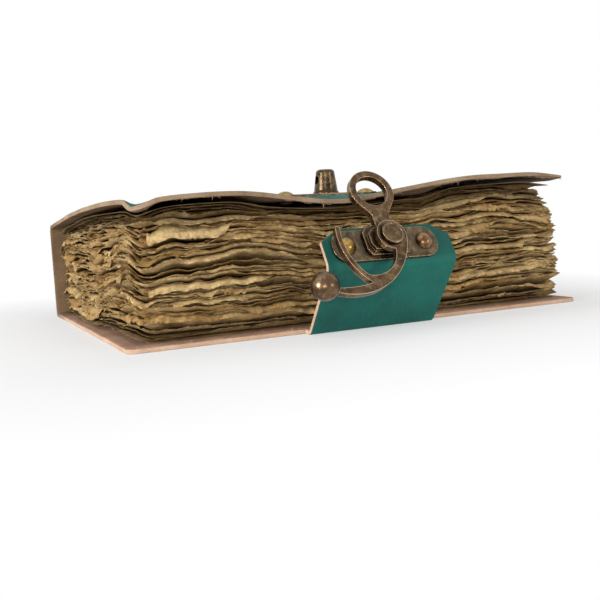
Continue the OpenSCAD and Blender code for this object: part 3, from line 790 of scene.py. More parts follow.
@dataclass
class LeatherFront:
    """Upper part of the spine, its shoulder and the wavy front cover, one strip of leather."""

    columns: int = 200
    rim: float = 3.0
    overlap: float = 0.5
    ragged: float = 0.2
    creases: float = 0.16
    calm: tuple[float, float] = (22.0, 8.0)
    calm_fade: float = 6.0
    tip_start: tuple[float, float] = (66.0, -50.0)
    tip_run: tuple[float, float] = (18.0, 12.0)
    tip_pared: float = 0.4
    sizes: BookSizes = BookSizes()

    def build(self, finishes: Finishes) -> Piece:
        """Makes the strip."""
        z = self.sizes
        half = z.leather / 2
        trail = Trail(z.spine_y - half, z.spine_split, 90).ahead(z.spine_wall - z.spine_split, 12)
        trail.bend(z.shoulder - half, z.shoulder_turn, 12)
        share = np.linspace(0, 1, self.columns + 1)
        x = np.tile((share - 0.5) * z.length, (len(trail.points), 1))
        cover, cover_flesh = self.cover_grids(share)
        grain = np.concatenate([trail.side(x, -half), cover])
        flesh = np.concatenate([trail.side(x, half), cover_flesh])
        bm = bmesh.new()
        faces, where = closed_sheet(bm, grain * MM, flesh * MM)
        dress_leather(bm, faces, where, joins=(0,))
        # The flesh side takes the darker copy of the flesh finish, painted shade.
        piece = new_piece("leather_front", bm, [finishes.grain, finishes.flesh_painted_shade, finishes.edge])
        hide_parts("front_cover", "spine")
        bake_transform(piece)
        return piece

    def cover_grids(self, share: Array) -> tuple[Array, Array]:
        """Points of the front cover's two sides.

        Args:
            share: places of the columns along the cover, from 0 to 1.

        Returns:
            The grain side and the flesh side, in millimetres.
        """
        z = self.sizes
        ripple = Ripple(9)
        start = z.seam[0] - self.overlap
        near_rim = 1 - np.linspace(self.rim, 0, 9) / z.width
        depth = np.concatenate([np.linspace(0, 1, 74)[:-1] * (1 - self.rim / z.width), near_rim])
        y_line = start + (z.fore_y - start) * depth
        rounded = corner_draw(z.fore_y + z.corner - y_line, z.corner)
        ends = []
        for side, skew in ((-1, z.head_skew), (1, z.tail_skew)):
            wander = self.ragged + self.ragged * ripple.along(y_line, 8) * (depth > 0.03)
            ends.append(side * (z.length / 2 - skew * depth**8 - rounded - wander))
        x = ends[0][:, None] * (1 - share) + ends[1][:, None] * share
        in_rim = np.clip(1 - (y_line - z.fore_y) / self.rim, 0, 1)[:, None]
        y = y_line[:, None] + in_rim * (self.ragged + self.ragged * ripple.along(share * z.length, 9))
        across, down = ripple.along(share * z.length, 26)[None, :], ripple.along(y_line, 22)[:, None]
        waves = self.creases * depth[:, None] * (across + down)
        top = z.cover_top(x, y) + waves * (1 - self.plate_hold(x, y))
        step = 0.05
        slope_x = (z.cover_top(x + step, y) - z.cover_top(x - step, y)) / (2 * step)
        slope_y = (z.cover_top(x, y + step) - z.cover_top(x, y - step)) / (2 * step)
        normal = np.dstack([-slope_x, -slope_y, np.ones_like(x)])
        normal /= np.linalg.norm(normal, axis=2, keepdims=True)
        grain = np.dstack([x, y, top])
        past_x, past_y = x - self.tip_start[0], self.tip_start[1] - y
        at_tip = soft(past_x / self.tip_run[0]) * soft(past_y / self.tip_run[1])
        return grain, grain - z.leather * (1 - self.tip_pared * at_tip)[..., None] * normal

    def plate_hold(self, x: Array, y: Array) -> Array:
        """1 near the post plate, 0 away from it."""
        z = self.sizes
        past = np.maximum(np.abs(x - z.clasp_x) - self.calm[0], np.abs(y - z.post_y) - self.calm[1])
        return 1 - soft(past / self.calm_fade)


@dataclass
class LeatherStrap:
    """Strap from the back cover's tongue to the flap's cut-off end, in two strips that meet at split."""

    columns: int = 60
    root_bend: float = 1.6
    fold_bend: float = 3.2
    split: float = 12.0
    round_off: float = 0.22
    sizes: BookSizes = BookSizes()

    def strip(
        self, name: str, trail: Trail, half_width: Array, finishes: Finishes, nodes: tuple[str, ...],
        joins: tuple[int, ...],
    ) -> Piece:
        """Makes one strip of the strap.

        Args:
            name: name of the piece.
            trail: the strip's middle line, with the grain side on its left.
            half_width: half its width at each point.
            finishes: the materials.
            nodes: the solids that it stands for.
            joins: rows at which the leather runs on in another piece.

        Returns:
            The piece.
        """
        half = self.sizes.leather / 2
        x = self.sizes.strap_x + half_width[:, None] * np.linspace(-1, 1, self.columns + 1)
        bm = bmesh.new()
        faces, where = closed_sheet(bm, trail.side(x, half) * MM, trail.side(x, -half) * MM)
        dress_leather(bm, faces, where, self.round_off, joins)
        piece = new_piece(name, bm, [finishes.flap, finishes.flesh, finishes.cut])
        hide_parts(*nodes)
        return piece

    def build(self, finishes: Finishes) -> None:
        """Makes both strips."""
        z = self.sizes
        root_turn = 90 - z.strap_lean
        fold_turn = z.strap_lean + z.flap_lean
        root_cut = self.root_bend * math.tan(math.radians(root_turn / 2))
        fold_cut = self.fold_bend * math.tan(math.radians(fold_turn / 2))
        tongue = z.strap_reach - root_cut
        lower = Trail(z.fore_y, z.leather / 2, 180).ahead(tongue, 6)
        lower.bend(self.root_bend, -root_turn, 12).ahead(self.split - root_cut, 20)
        rows = len(lower.points)
        half_width = np.full(rows, z.strap_width / 2)
        low = self.strip("leather_strap", lower, half_width, finishes, ("strap", "back_cover"), (0, rows - 1))
        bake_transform(low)
        self.build_flap(lower, fold_turn, fold_cut, finishes)

    def build_flap(self, lower: Trail, fold_turn: float, fold_cut: float, finishes: Finishes) -> None:
        """Makes the upper strip: the rest of the strap, its fold and the flap with its cut-off corners."""
        z = self.sizes
        upper = Trail(lower.place[0], lower.place[1], math.degrees(lower.heading))
        upper.ahead(z.strap_rise - self.split - fold_cut, 22).bend(self.fold_bend, -fold_turn, 20)
        before = len(upper.points)
        upper.ahead(z.flap_length - fold_cut, 32)
        run = np.linspace(fold_cut, z.flap_length, len(upper.points) - before)
        cut = np.clip((run - z.flap_length + z.chamfer_height) / z.chamfer_height, 0, 1) * z.chamfer_width
        half_width = np.concatenate([np.full(before, z.strap_width / 2), z.strap_width / 2 - cut])
        high = self.strip("leather_flap", upper, half_width, finishes, ("strap", "strap_flap"), (0,))
        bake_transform(high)


@dataclass
class EdgeFibres:
    """Loose fibres of the flesh side along the fore-edges of the two covers."""

    spacing: float = 0.22
    sizes: BookSizes = BookSizes()

    def build(self, finishes: Finishes) -> None:
        """Makes a row of fibres under the front cover's edge and one above the back cover's."""
        z = self.sizes
        draw = np.random.default_rng(71)
        x = np.arange(-z.length / 2 + z.head_skew + 2, z.length / 2 - z.tail_skew - 1, self.spacing)
        x = x + draw.uniform(-0.1, 0.1, len(x))
        y = z.fore_y + 0.55 + draw.uniform(-0.1, 0.25, len(x))
        roots = np.stack([x, y, z.cover_top(x, y) - z.leather + 0.12], 1)
        self.row("fibres_front", Body.FRONT, roots, -1.0, draw, finishes)
        x = np.arange(-z.length / 2 + 3.5, z.length / 2 - 3.5, self.spacing)
        x = x[np.abs(x - z.strap_x) > z.strap_width / 2 + 1]
        y = z.fore_y + 0.6 + draw.uniform(0, 0.3, len(x))
        roots = np.stack([x, y, np.full(len(x), z.leather - 0.1)], 1)
        self.row("fibres_back", Body.BACK, roots, 1.0, draw, finishes)

    def row(
        self, name: str, body: Body, roots: Array, up: float, draw: np.random.Generator, finishes: Finishes
    ) -> None:
        """Makes one row of fibres.

        Args:
            name: name of the piece.
            body: what they ride on.
            roots: where they start, in millimetres.
            up: 1 when they stand up, -1 when they hang.
            draw: seeded numbers.
            finishes: the materials.
        """
        bm = bmesh.new()
        clumps = soft(Ripple(73).along(roots[:, 0], 3.5) * 1.2 + 0.3)
        for root, clump in zip(roots, clumps):
            length = (0.2 + 0.45 * clump + (draw.uniform(0.6, 1.4) if draw.uniform() < 0.03 else 0)) * MM
            way = Vector((draw.normal(0, 0.45), -draw.uniform(0.1, 0.7), up))
            turn = way.to_track_quat("Z", "Y").to_matrix().to_4x4()
            at = Matrix.Translation(Vector(root * MM)) @ turn @ Matrix.Translation((0, 0, length * 0.4))
            thick = draw.uniform(0.05, 0.1) * MM
            bmesh.ops.create_cone(
                bm, cap_ends=True, segments=4, radius1=thick, radius2=thick * 0.3, depth=length, matrix=at
            )
        piece = new_piece(name, bm, [finishes.cut])
        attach(piece, body.value)


# Leaves


@dataclass(frozen=True)
class HangingRim:
    """A leaf whose rim reaches out and hangs over those below it, along part of the fore-edge."""

    level: float
    from_x: float
    to_x: float
    reach: float
    drop: float
    tone: float


@dataclass(frozen=True)
class OuterLeaf:
    """The top or bottom leaf, made whole: its level, seed, rows and how far it stays behind the edges."""

    name: str
    level: float
    seed: int
    rows: int
    behind_fore: float
    behind_head: float


@dataclass
class Leaves:
    """Torn-edge leaves: a deep band of each leaf round the three open sides, over a plain core."""

    count: int = 52
    groups: int = 6
    fore_step: float = 0.74
    side_step: float = 1.3
    band: float = 12.0
    spine_gap: float = 0.2
    core_gap: float = 0.3
    core_below: float = 0.6
    core_above: float = 0.8
    outer_thick: float = 0.22
    hanging: tuple[HangingRim, ...] = (
        HangingRim(0.81, -83, -50, 0.9, 3.0, 1.0),
        HangingRim(0.88, -80, -40, 0.1, 1.3, 0.85),
        HangingRim(0.54, -72, -46, 0.3, 1.5, 0.75),
        HangingRim(0.36, -84, -36, 0.6, 2.0, 0.9),
        HangingRim(0.21, -76, -44, 0.4, 1.3, 0.75),
        HangingRim(0.66, -48, -20, 0.2, 1.5, 0.6),
        HangingRim(0.68, 14, 44, 0.2, 1.5, 0.6),
        HangingRim(0.47, 22, 70, 0.3, 1.7, 0.6),
        HangingRim(0.24, 24, 80, 0.5, 2.0, 0.8),
    )
    outer: tuple[OuterLeaf, ...] = (
        OuterLeaf("leaf_top", 1.0, 31, 60, 3.4, 0.8),
        OuterLeaf("leaf_bottom", 0.0, 37, 40, 7.0, 5.5),
    )
    sizes: BookSizes = BookSizes()

    @property
    def back(self) -> float:
        """Y of the leaves' bound edge."""
        return self.sizes.spine_y - self.sizes.leather - self.spine_gap

    def lines(self) -> tuple[Array, Array, Array]:
        """The path of the leaves' nominal edge, and of the inner side of the band.

        Returns:
            Points of the edge, points of the inner side, and the run along the edge.
        """
        z = self.sizes
        head, tail = -z.length / 2 + z.head_inset, z.length / 2 - z.tail_inset
        back, fore = self.back, z.fore_y + z.fore_inset
        tail_band = self.band + z.tail_slant
        deep = back - fore
        side_count = round(deep / self.side_step)
        fore_count = round((tail - head) / self.fore_step)
        down = np.linspace(0, deep, side_count + 1)
        over = np.linspace(0, tail - head, fore_count + 1)[1:]
        up = down[1:]

        def drawn(distance: Array, draw: float) -> Array:
            """Distance from a corner, as the inner side has it."""
            zone = 3 * draw
            return np.where(distance < zone, draw + distance * (zone - draw) / zone, distance)

        left_inner = deep - drawn(deep - down, self.band)
        right_inner = drawn(up, self.band)
        near = drawn(over, self.band)
        far = (tail - head) - drawn((tail - head) - over, tail_band)
        blend = over / (tail - head)
        over_inner = near * (1 - blend) + far * blend
        edge = np.concatenate([
            np.stack([np.full_like(down, head), back - down], 1),
            np.stack([head + over, np.full_like(over, fore)], 1),
            np.stack([np.full_like(up, tail), fore + up], 1),
        ])
        inner = np.concatenate([
            np.stack([np.full_like(down, head + self.band), back - left_inner], 1),
            np.stack([head + over_inner, np.full_like(over, fore + self.band)], 1),
            np.stack([np.full_like(up, tail - tail_band), fore + right_inner], 1),
        ])
        run = np.concatenate([[0], np.cumsum(np.linalg.norm(np.diff(edge, axis=0), axis=1))])
        return edge, inner, run

    def build(self, finishes: Finishes) -> None:
        """Makes the leaves in groups, the top and bottom leaves and the core."""
        stack = LeafStack(self, *self.lines())
        stack.settle()
        per_group = math.ceil(self.count / self.groups)
        for group in range(self.groups):
            bm = bmesh.new()
            layers = [bm.verts.layers.float.new(name) for name in ("tone", "rim", "inside")]
            for leaf in range(group * per_group, min(self.count, (group + 1) * per_group)):
                upper, lower, values = stack.leaf(leaf)
                _, where = closed_sheet(bm, upper * MM, lower * MM)
                for vert, (row, column, _) in where.items():
                    for layer, value in zip(layers, values):
                        vert[layer] = value[row, column]
            self.finish(f"leaves_{group + 1}", bm, finishes)
        self.build_core(finishes)
        for outer in self.outer:
            self.build_outer(outer, finishes)

    def finish(self, name: str, bm: BMesh, finishes: Finishes) -> Piece:
        """Turns a mesh of leaves into a piece of the block."""
        piece = new_piece(name, bm, [finishes.paper])
        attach(piece, Body.BLOCK.value)
        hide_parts("page_block")
        return piece

    def build_core(self, finishes: Finishes) -> None:
        """Makes the plain inside of the block, behind the bands."""
        z = self.sizes
        inward = self.band + self.core_gap
        low_x = -z.length / 2 + z.head_inset + inward
        high_x = z.length / 2 - z.tail_inset - z.tail_slant - inward
        fore = z.fore_y + z.fore_inset + inward
        x, y = np.meshgrid(np.linspace(low_x, high_x, 41), np.linspace(fore, self.back, 31))
        top, low = z.pages_top(x, y) - self.core_below, np.full_like(x, z.leather + self.core_above)
        bm = bmesh.new()
        closed_sheet(bm, np.dstack([x, y, top]) * MM, np.dstack([x, y, low]) * MM)
        inside = bm.verts.layers.float.new("inside")
        for vert in bm.verts:
            # Painted shade: the core is seen only deep between the leaves, so it is dark.
            vert[inside] = 0.9
        self.finish("leaves_core", bm, finishes)

    def build_outer(self, outer: OuterLeaf, finishes: Finishes) -> None:
        """Makes the top or bottom leaf, whole, with painted shade round its rim where it lies under the
        cover.

        Args:
            outer: which of the two, and its sizes.
            finishes: the materials.
        """
        z, columns, deep, wide = self.sizes, 150, 120, 165
        ripple = Ripple(outer.seed)
        down, across = np.linspace(0, 1, outer.rows + 1), np.linspace(0, 1, columns + 1)
        back, fore = self.back, z.fore_y + z.fore_inset + outer.behind_fore
        slant = z.head_slant * outer.level * (1 - down) ** 2
        head = -z.length / 2 + z.head_inset + slant + outer.behind_head
        tail = z.length / 2 - z.tail_inset - z.tail_slant * outer.level - 0.8 + 0 * down
        side_run, fore_run = down * (back - fore), across * wide
        for line, sign in ((head, 1), (tail, -1)):
            line += sign * (0.5 * ripple.along(side_run, 14) + 0.3 * ripple.along(side_run, 3))
        fore_line = fore + 0.6 * ripple.along(fore_run, 14) + 0.35 * ripple.along(fore_run, 3)
        x = head[:, None] * (1 - across) + tail[:, None] * across
        y = fore_line[None, :] * (1 - down[:, None]) + back * down[:, None]
        bumps = 0.14 * (1 + ripple.along(x.ravel(), 17).reshape(x.shape))
        upper = z.pages_top(x, y) - bumps if outer.level else np.full_like(x, z.leather + 0.28)
        bm = bmesh.new()
        tone, inside = (bm.verts.layers.float.new(name) for name in ("tone", "inside"))
        grids = [np.dstack([x, y, side]) * MM for side in (upper, upper - self.outer_thick)]
        _, where = closed_sheet(bm, *grids)
        from_side = np.minimum(across, 1 - across) * wide
        from_rim = np.minimum(np.minimum(down, 1 - down)[:, None] * deep, from_side)
        # Painted shade near the rim, darkest at the rim.
        shade = 0.8 * (1 - soft((from_rim - 1.5) / 7))
        for vert, (row, column, _) in where.items():
            vert[tone], vert[inside] = 0.55, shade[row, column]
        self.finish(outer.name, bm, finishes)


class LeafStack:
    """Settles the leaves one on another, as heights over a fixed net of places round the block.

    Lengths are in millimetres. A leaf's level runs from 0 for the lowest to 1 for the top one.
    """

    out_step: float = 0.25
    furthest: float = 2.01
    floor_gap: float = 0.35
    clear: float = 0.04
    fore_lift: float = 1.7
    top_gap: float = 0.65
    press_rounds: int = 6
    loose_share: float = 0.34
    paper: float = 0.34
    thinnest: float = 0.18
    # Rows: distance in from the torn edge, and shares of the thickness, of the frill, of the rim's stain and
    # of the painted shade between the leaves.
    profile: tuple[tuple[float, ...], ...] = (
        (0, 0.3, 1, 1, 0),
        (0.25, 0.75, 0.75, 0.7, 0),
        (0.7, 1, 0.4, 0.25, 0.05),
        (1.4, 1, 0.12, 0, 0.25),
        (2.6, 1, 0, 0, 0.7),
        (4.8, 1, 0, 0, 0.95),
        (math.inf, 1, 0, 0, 1),
    )

    def __init__(self, leaves: Leaves, edge: Array, inner: Array, run: Array) -> None:
        """Sets out the net and draws each leaf's torn outline.

        Args:
            leaves: the sizes of the leaves.
            edge: points of the nominal edge.
            inner: points of the inner side of the bands.
            run: distance along the edge.
        """
        self.leaves, self.edge, self.run = leaves, edge, run
        self.outs = np.arange(-leaves.band, self.furthest, self.out_step)
        self.way = (edge - inner) / leaves.band
        self.level_of = (np.arange(leaves.count) + 0.5) / leaves.count
        self.ripple = Ripple(11)
        fore_y, head_x, tail_x = edge[:, 1].min(), edge[:, 0].min(), edge[:, 0].max()
        self.on_fore = edge[:, 1] < fore_y + 0.01
        self.corner = np.zeros(len(run))
        for end_x, reach in ((head_x, 7), (tail_x, 5)):
            distance = np.abs(edge[:, 0] - end_x) + np.abs(edge[:, 1] - fore_y)
            self.corner += np.exp(-((distance / reach) ** 2))
        self.draw_outlines(head_x, tail_x)
        self.draw_rims()
        self.hang_rims()
        thick = self.paper + 0.1 * self.layers(12) + 0.06 * self.layers(3)
        self.thick = np.maximum(thick, self.thinnest)
        self.beds: list[Array] = []
        self.low = leaves.sizes.leather + self.floor_gap
        self.squeeze = np.ones((len(run), len(self.outs)))

    def layers(self, wavelength: float) -> Array:
        """Smooth noise along the run for each leaf."""
        return self.ripple.layers(self.leaves.count, self.run, wavelength)

    def draw_outlines(self, head_x: float, tail_x: float) -> None:
        """Draws how far each leaf's torn edge stands out from the nominal edge.

        Args:
            head_x: X of the nominal edge at the head.
            tail_x: X of the nominal edge at the tail, where the leaves are torn more evenly.
        """
        z, count, draw = self.leaves.sizes, self.leaves.count, self.ripple.draw
        self.loose = draw.uniform(0, 1, count) < self.loose_share
        base = np.where(self.loose, draw.normal(-0.35, 0.4, count), draw.normal(-1.7, 0.5, count))
        fine = draw.uniform(-1, 1, (count, len(self.run)))
        nicks = np.clip(self.layers(5.5) - 0.7, 0, 0.3) / 0.3
        outline = base[:, None] + 0.85 * self.layers(31) + 0.42 * self.layers(8) + 0.3 * self.layers(2.6)
        to_tail = soft((self.edge[:, 0] - tail_x + 14) / 12)
        outline = outline + (0.2 * fine - 1.1 * nicks) * (1 - 0.6 * to_tail)
        outline = outline - (outline + 0.1) * 0.65 * to_tail
        outline = outline - self.corner * (1.1 + (0.8 - 0.5 * to_tail) * self.layers(4))
        level = self.level_of[:, None]
        top_behind = 2.6 * soft((level - 0.86) / 0.1)
        low_behind = 4.0 * soft((0.09 - level) / 0.07) * self.on_fore
        outline = np.minimum(outline - top_behind - low_behind, 0.85 - 0.2 * np.abs(fine))
        near = 9
        at_tail = np.clip((self.edge[:, 0] - tail_x + near) / near, 0, 1)
        slant = z.tail_slant * self.leaves.band / (self.leaves.band + z.tail_slant)
        share = (self.edge[:, 1].max() - self.edge[:, 1]) / np.ptp(self.edge[:, 1])
        at_head = np.clip((head_x + near - self.edge[:, 0]) / near, 0, 1) * share**2
        self.outline = outline - slant * level**2 * at_tail - z.head_slant * level * at_head

    def draw_rims(self) -> None:
        """Draws how far each rim droops or curls up, over what width, and each leaf's tone."""
        loose = self.loose[:, None]
        droop = np.clip(self.layers(18) + 0.2, -0.35, 1.1)
        droop = droop * np.where(loose, 1.7 + 0.5 * self.layers(40), 0.8)
        self.droop = droop + 0.24 * self.layers(4) + self.corner * 0.45 * self.layers(3.5)
        self.length = np.where(loose, 2.6, 3.2) + 0.9 * self.layers(24)
        self.steep = np.where(self.loose, 2.4, 1.3) * self.out_step
        tone = np.where(self.loose, 0.68, 0.45) + self.ripple.draw.uniform(-0.34, 0.34, self.leaves.count)
        self.tone = np.clip(tone[:, None] + 0.3 * self.layers(36), 0, 1)
        # Painted shade: the top leaves under the cover's overhang and the lowest ones above the back cover
        # are darkened.
        self.shade = 0.72 * soft((self.level_of - 0.85) / 0.08) + 0.6 * soft((0.07 - self.level_of) / 0.05)

    def hang_rims(self) -> None:
        """Lets the large rims hang over the leaves below them, which draw back there."""
        x, count = self.edge[:, 0], self.leaves.count
        for rim in self.leaves.hanging:
            leaf = round(rim.level * count)
            here = soft((x - rim.from_x) / 5) * soft((rim.to_x - x) / 7) * self.on_fore
            ragged = 0.25 * self.ripple.along(self.run, 6) + 0.12 * self.ripple.along(self.run, 1.6)
            self.outline[leaf] += (rim.reach + ragged - self.outline[leaf]) * here
            self.droop[leaf] += (rim.drop * (1 + 0.5 * ragged) / 1.5 - self.droop[leaf]) * here
            self.length[leaf] += (3.0 - self.length[leaf]) * here
            self.tone[leaf] += (rim.tone - self.tone[leaf]) * here
            self.steep[leaf] = 3.2 * self.out_step
            for below in range(max(leaf - 3, 0), leaf):
                drawn_back = np.minimum(self.outline[below], -1.5)
                self.outline[below] += (drawn_back - self.outline[below]) * here

    def places(self, outs: Array) -> tuple[Array, Array]:
        """X and Y at distances outward of the nominal edge, one row for each place of the run."""
        at = self.edge[:, None, :] + self.way[:, None, :] * outs[..., None]
        return at[..., 0], at[..., 1]

    def levels(self) -> Array:
        """Share of the height at which each leaf would lie, uneven, so that some bunch and some part."""
        weight = 0.6 * self.layers(34) + 0.3 * self.layers(9) + 0.16 * self.layers(4)
        weight = np.exp(weight + self.ripple.draw.normal(0, 0.5, self.leaves.count)[:, None])
        total = np.cumsum(weight, axis=0)
        return (total - weight / 2) / total[-1]

    def settle(self) -> None:
        """Lays the leaves from the lowest up, each clear of the last, then presses them under the cover."""
        z, low = self.leaves.sizes, self.low
        x, y = self.places(np.tile(self.outs, (len(self.run), 1)))
        front = np.clip(-(y - 20) / 60, 0, 1)
        floor = low + self.fore_lift * soft(front) * soft((self.outs + 8) / 7)[None, :]
        high = z.pages_top(x, y) - self.top_gap
        uneven = self.levels()
        free = soft((self.outs + 10) / 9)[None, :]
        swell_a, swell_b = self.ripple.along(self.run, 33), self.ripple.along(self.run, 57)
        ground = floor.copy()
        for leaf, level_of in enumerate(self.level_of):
            level = level_of * (1 - free) + uneven[leaf][:, None] * free
            phase = 2 * math.pi * level_of
            swell = swell_a * math.sin(1.3 * phase) + swell_b * math.cos(0.8 * phase)
            wave = 0.3 * z.leaf_wave * math.sin(math.pi * level_of) * swell
            out_to, length = self.outline[leaf][:, None], self.length[leaf][:, None]
            past = np.clip((self.outs[None, :] - out_to + length) / length, 0, 1.2)
            droop = 1.5 * self.droop[leaf][:, None] * past**2
            bed = floor + (high - floor) * level + wave[:, None] * free - droop
            bed = np.maximum(bed, ground + self.clear)
            for k in range(1, bed.shape[1]):
                bed[:, k] = np.maximum(bed[:, k], bed[:, k - 1] - self.steep[leaf])
            self.beds.append(bed)
            there = self.outs[None, :] <= out_to + 0.2
            ground = np.where(there, bed + self.thick[leaf][:, None], ground)
        over = np.maximum((ground - low) / (high - low), 1)
        for _ in range(self.press_rounds):
            over = np.maximum(over, (np.roll(over, 1, 0) + np.roll(over, -1, 0)) / 2)
        over = np.maximum.accumulate(over[:, ::-1], axis=1)[:, ::-1]
        self.squeeze = 1 / over

    def leaf(self, index: int) -> tuple[Array, Array, list[Array]]:
        """The grids of one leaf.

        The profile's rows run from the torn edge to the inner side of the band. Each has its distance from
        the edge, and its shares of the thickness, of the frill, of the rim's stain and of the painted shade
        between the leaves.

        Args:
            index: which leaf, from the lowest.

        Returns:
            Its upper and lower points in millimetres, and the tone, rim and inside (painted shade) values of
            its vertices.
        """
        steps, thin, frills, stains, darks = np.array(self.profile).T
        out_to = self.outline[index]
        outs = np.array([out_to - step for step in steps[:-1]] + [np.full_like(out_to, -self.leaves.band)])
        x, y = self.places(outs.T)
        at = (outs.T - self.outs[0]) / self.out_step
        base = np.clip(np.floor(at).astype(int), 0, len(self.outs) - 2)
        share = at - base
        column = np.arange(len(out_to))[:, None]

        def read(net: Array) -> Array:
            """Values of a net at the leaf's own places."""
            return net[column, base] * (1 - share) + net[column, base + 1] * share

        bed, squeeze = read(self.beds[index]), read(self.squeeze)
        ripple = Ripple(500 + index)
        frill = 0.1 * ripple.draw.uniform(-1, 1, len(out_to)) + 0.2 * ripple.along(self.run, 2.1)
        frill = frill[:, None] * frills
        thick = self.thick[index][:, None]
        points = [
            np.dstack([x, y, self.low + (bed + thick * (1 + side * thin) / 2 - self.low) * squeeze + frill])
            for side in (1, -1)
        ]
        tones = np.tile(self.tone[index][:, None], (1, len(steps)))
        stains, darks = (np.tile(values, (len(out_to), 1)) for values in (stains, darks))
        darks = np.maximum(darks, self.shade[index])
        upper, lower = (grid.transpose(1, 0, 2) for grid in points)
        return upper, lower, [tones.T, stains.T, darks.T]


# Clasp


@dataclass(frozen=True)
class MetalPart:
    """One metal solid, its body, its finish and the radius of its worn edges in millimetres."""

    node: str
    body: Body
    finish: str = "cast"
    round_off: float = 0.12


class Clasp:
    """The brass fittings: copies of the solids with rounded edges, and with grime and painted shade where
    they crowd each other.
    """

    parts: tuple[MetalPart, ...] = (
        MetalPart("hasp_plate", Body.FLAP, "plate", 0.35),
        MetalPart("hasp", Body.FLAP, "cast", 0.7),
        MetalPart("hasp_rivet_left", Body.FLAP, "rivet"),
        MetalPart("hasp_rivet_right", Body.FLAP, "copper"),
        MetalPart("hasp_burr_left", Body.FLAP),
        MetalPart("hasp_burr_right", Body.FLAP),
        MetalPart("pivot_rivet", Body.FLAP, "cast", 0.15),
        MetalPart("pivot_burr", Body.FLAP),
        MetalPart("swing_hook", Body.HOOK, "cast", 0.35),
        MetalPart("post_plate", Body.FRONT, "plate", 0.25),
        # The post takes the darker copy of the cast finish, painted shade.
        MetalPart("post", Body.FRONT, "shaded_cast", 0.15),
        MetalPart("post_rivet_left", Body.FRONT, "rivet"),
        MetalPart("post_rivet_right", Body.FRONT, "rivet"),
        MetalPart("post_burr_left", Body.FRONT),
        MetalPart("post_burr_right", Body.FRONT),
        MetalPart("post_burr_middle", Body.FRONT),
    )
    flat_angle: float = 0.5
    sharp_angle: float = 38.0
    facet: float = 1.1
    reach: float = 3.0
    rays: int = 28
    lift: float = 0.00015

    def build(self, finishes: Finishes) -> None:
        """Makes every fitting."""
        around = self.surroundings()
        for part in self.parts:
            self.dress(part, getattr(finishes, part.finish), around)

    def surroundings(self) -> BVHTree:
        """All the fittings and the leather under them, for finding the crowded places."""
        bm = bmesh.new()
        for node in [part.node for part in self.parts] + ["strap_flap", "front_cover"]:
            bm.from_mesh(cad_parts[node].data)
        tree = BVHTree.FromBMesh(bm)
        bm.free()
        return tree

    def dress(self, part: MetalPart, finish: Material, around: BVHTree) -> Piece:
        """Copies a solid, rounds its edges, darkens its crowded places with grime and painted shade and puts
        the copy in its place.

        Args:
            part: the solid and how it is dressed.
            finish: its material.
            around: what may crowd it.

        Returns:
            The piece.
        """
        bm = bmesh.new()
        bm.from_mesh(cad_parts[part.node].data)
        bmesh.ops.remove_doubles(bm, verts=bm.verts, dist=2e-6)
        flat, limit = math.radians(self.flat_angle), math.radians(self.sharp_angle)
        bmesh.ops.dissolve_limit(bm, angle_limit=flat, verts=bm.verts, edges=bm.edges)
        sharp = [e for e in bm.edges if e.is_manifold and e.calc_face_angle() > limit]
        round_edges(bm, sharp, part.round_off, 4)
        bmesh.ops.recalc_face_normals(bm, faces=bm.faces)
        bmesh.ops.triangulate(bm, faces=bm.faces)
        for _ in range(5):
            long = [e for e in bm.edges if e.calc_length() > self.facet * MM]
            if long:
                bmesh.ops.subdivide_edges(bm, edges=long, cuts=1)
                bmesh.ops.triangulate(bm, faces=bm.faces)
        for face in bm.faces:
            face.material_index = 0
        self.soil_and_shade(bm, around)
        piece = new_piece("worn_" + part.node, bm, [finish])
        piece.modifiers.new("even shade", "WEIGHTED_NORMAL")
        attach(piece, part.body.value)
        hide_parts(part.node)
        return piece

    def soil_and_shade(self, bm: BMesh, around: BVHTree) -> None:
        """Gives each vertex the share of its surroundings that is crowded, as grime and painted shade.

        Args:
            bm: the mesh.
            around: what may crowd it.
        """
        grime_and_shade = bm.verts.layers.float.new("grime_and_shade")
        draw = np.random.default_rng(3)
        rays = draw.normal(size=(self.rays, 3))
        rays /= np.linalg.norm(rays, axis=1, keepdims=True)
        ways = [Vector(ray) for ray in rays]
        bm.normal_update()
        for vert in bm.verts:
            # Grime and painted shade: the share of rays that hit a nearby part.
            start = vert.co + vert.normal * self.lift
            seen = [way if way.dot(vert.normal) > 0 else -way for way in ways]
            hits = sum(around.ray_cast(start, way, self.reach * MM)[0] is not None for way in seen)
            vert[grime_and_shade] = hits / len(seen)


# Studio


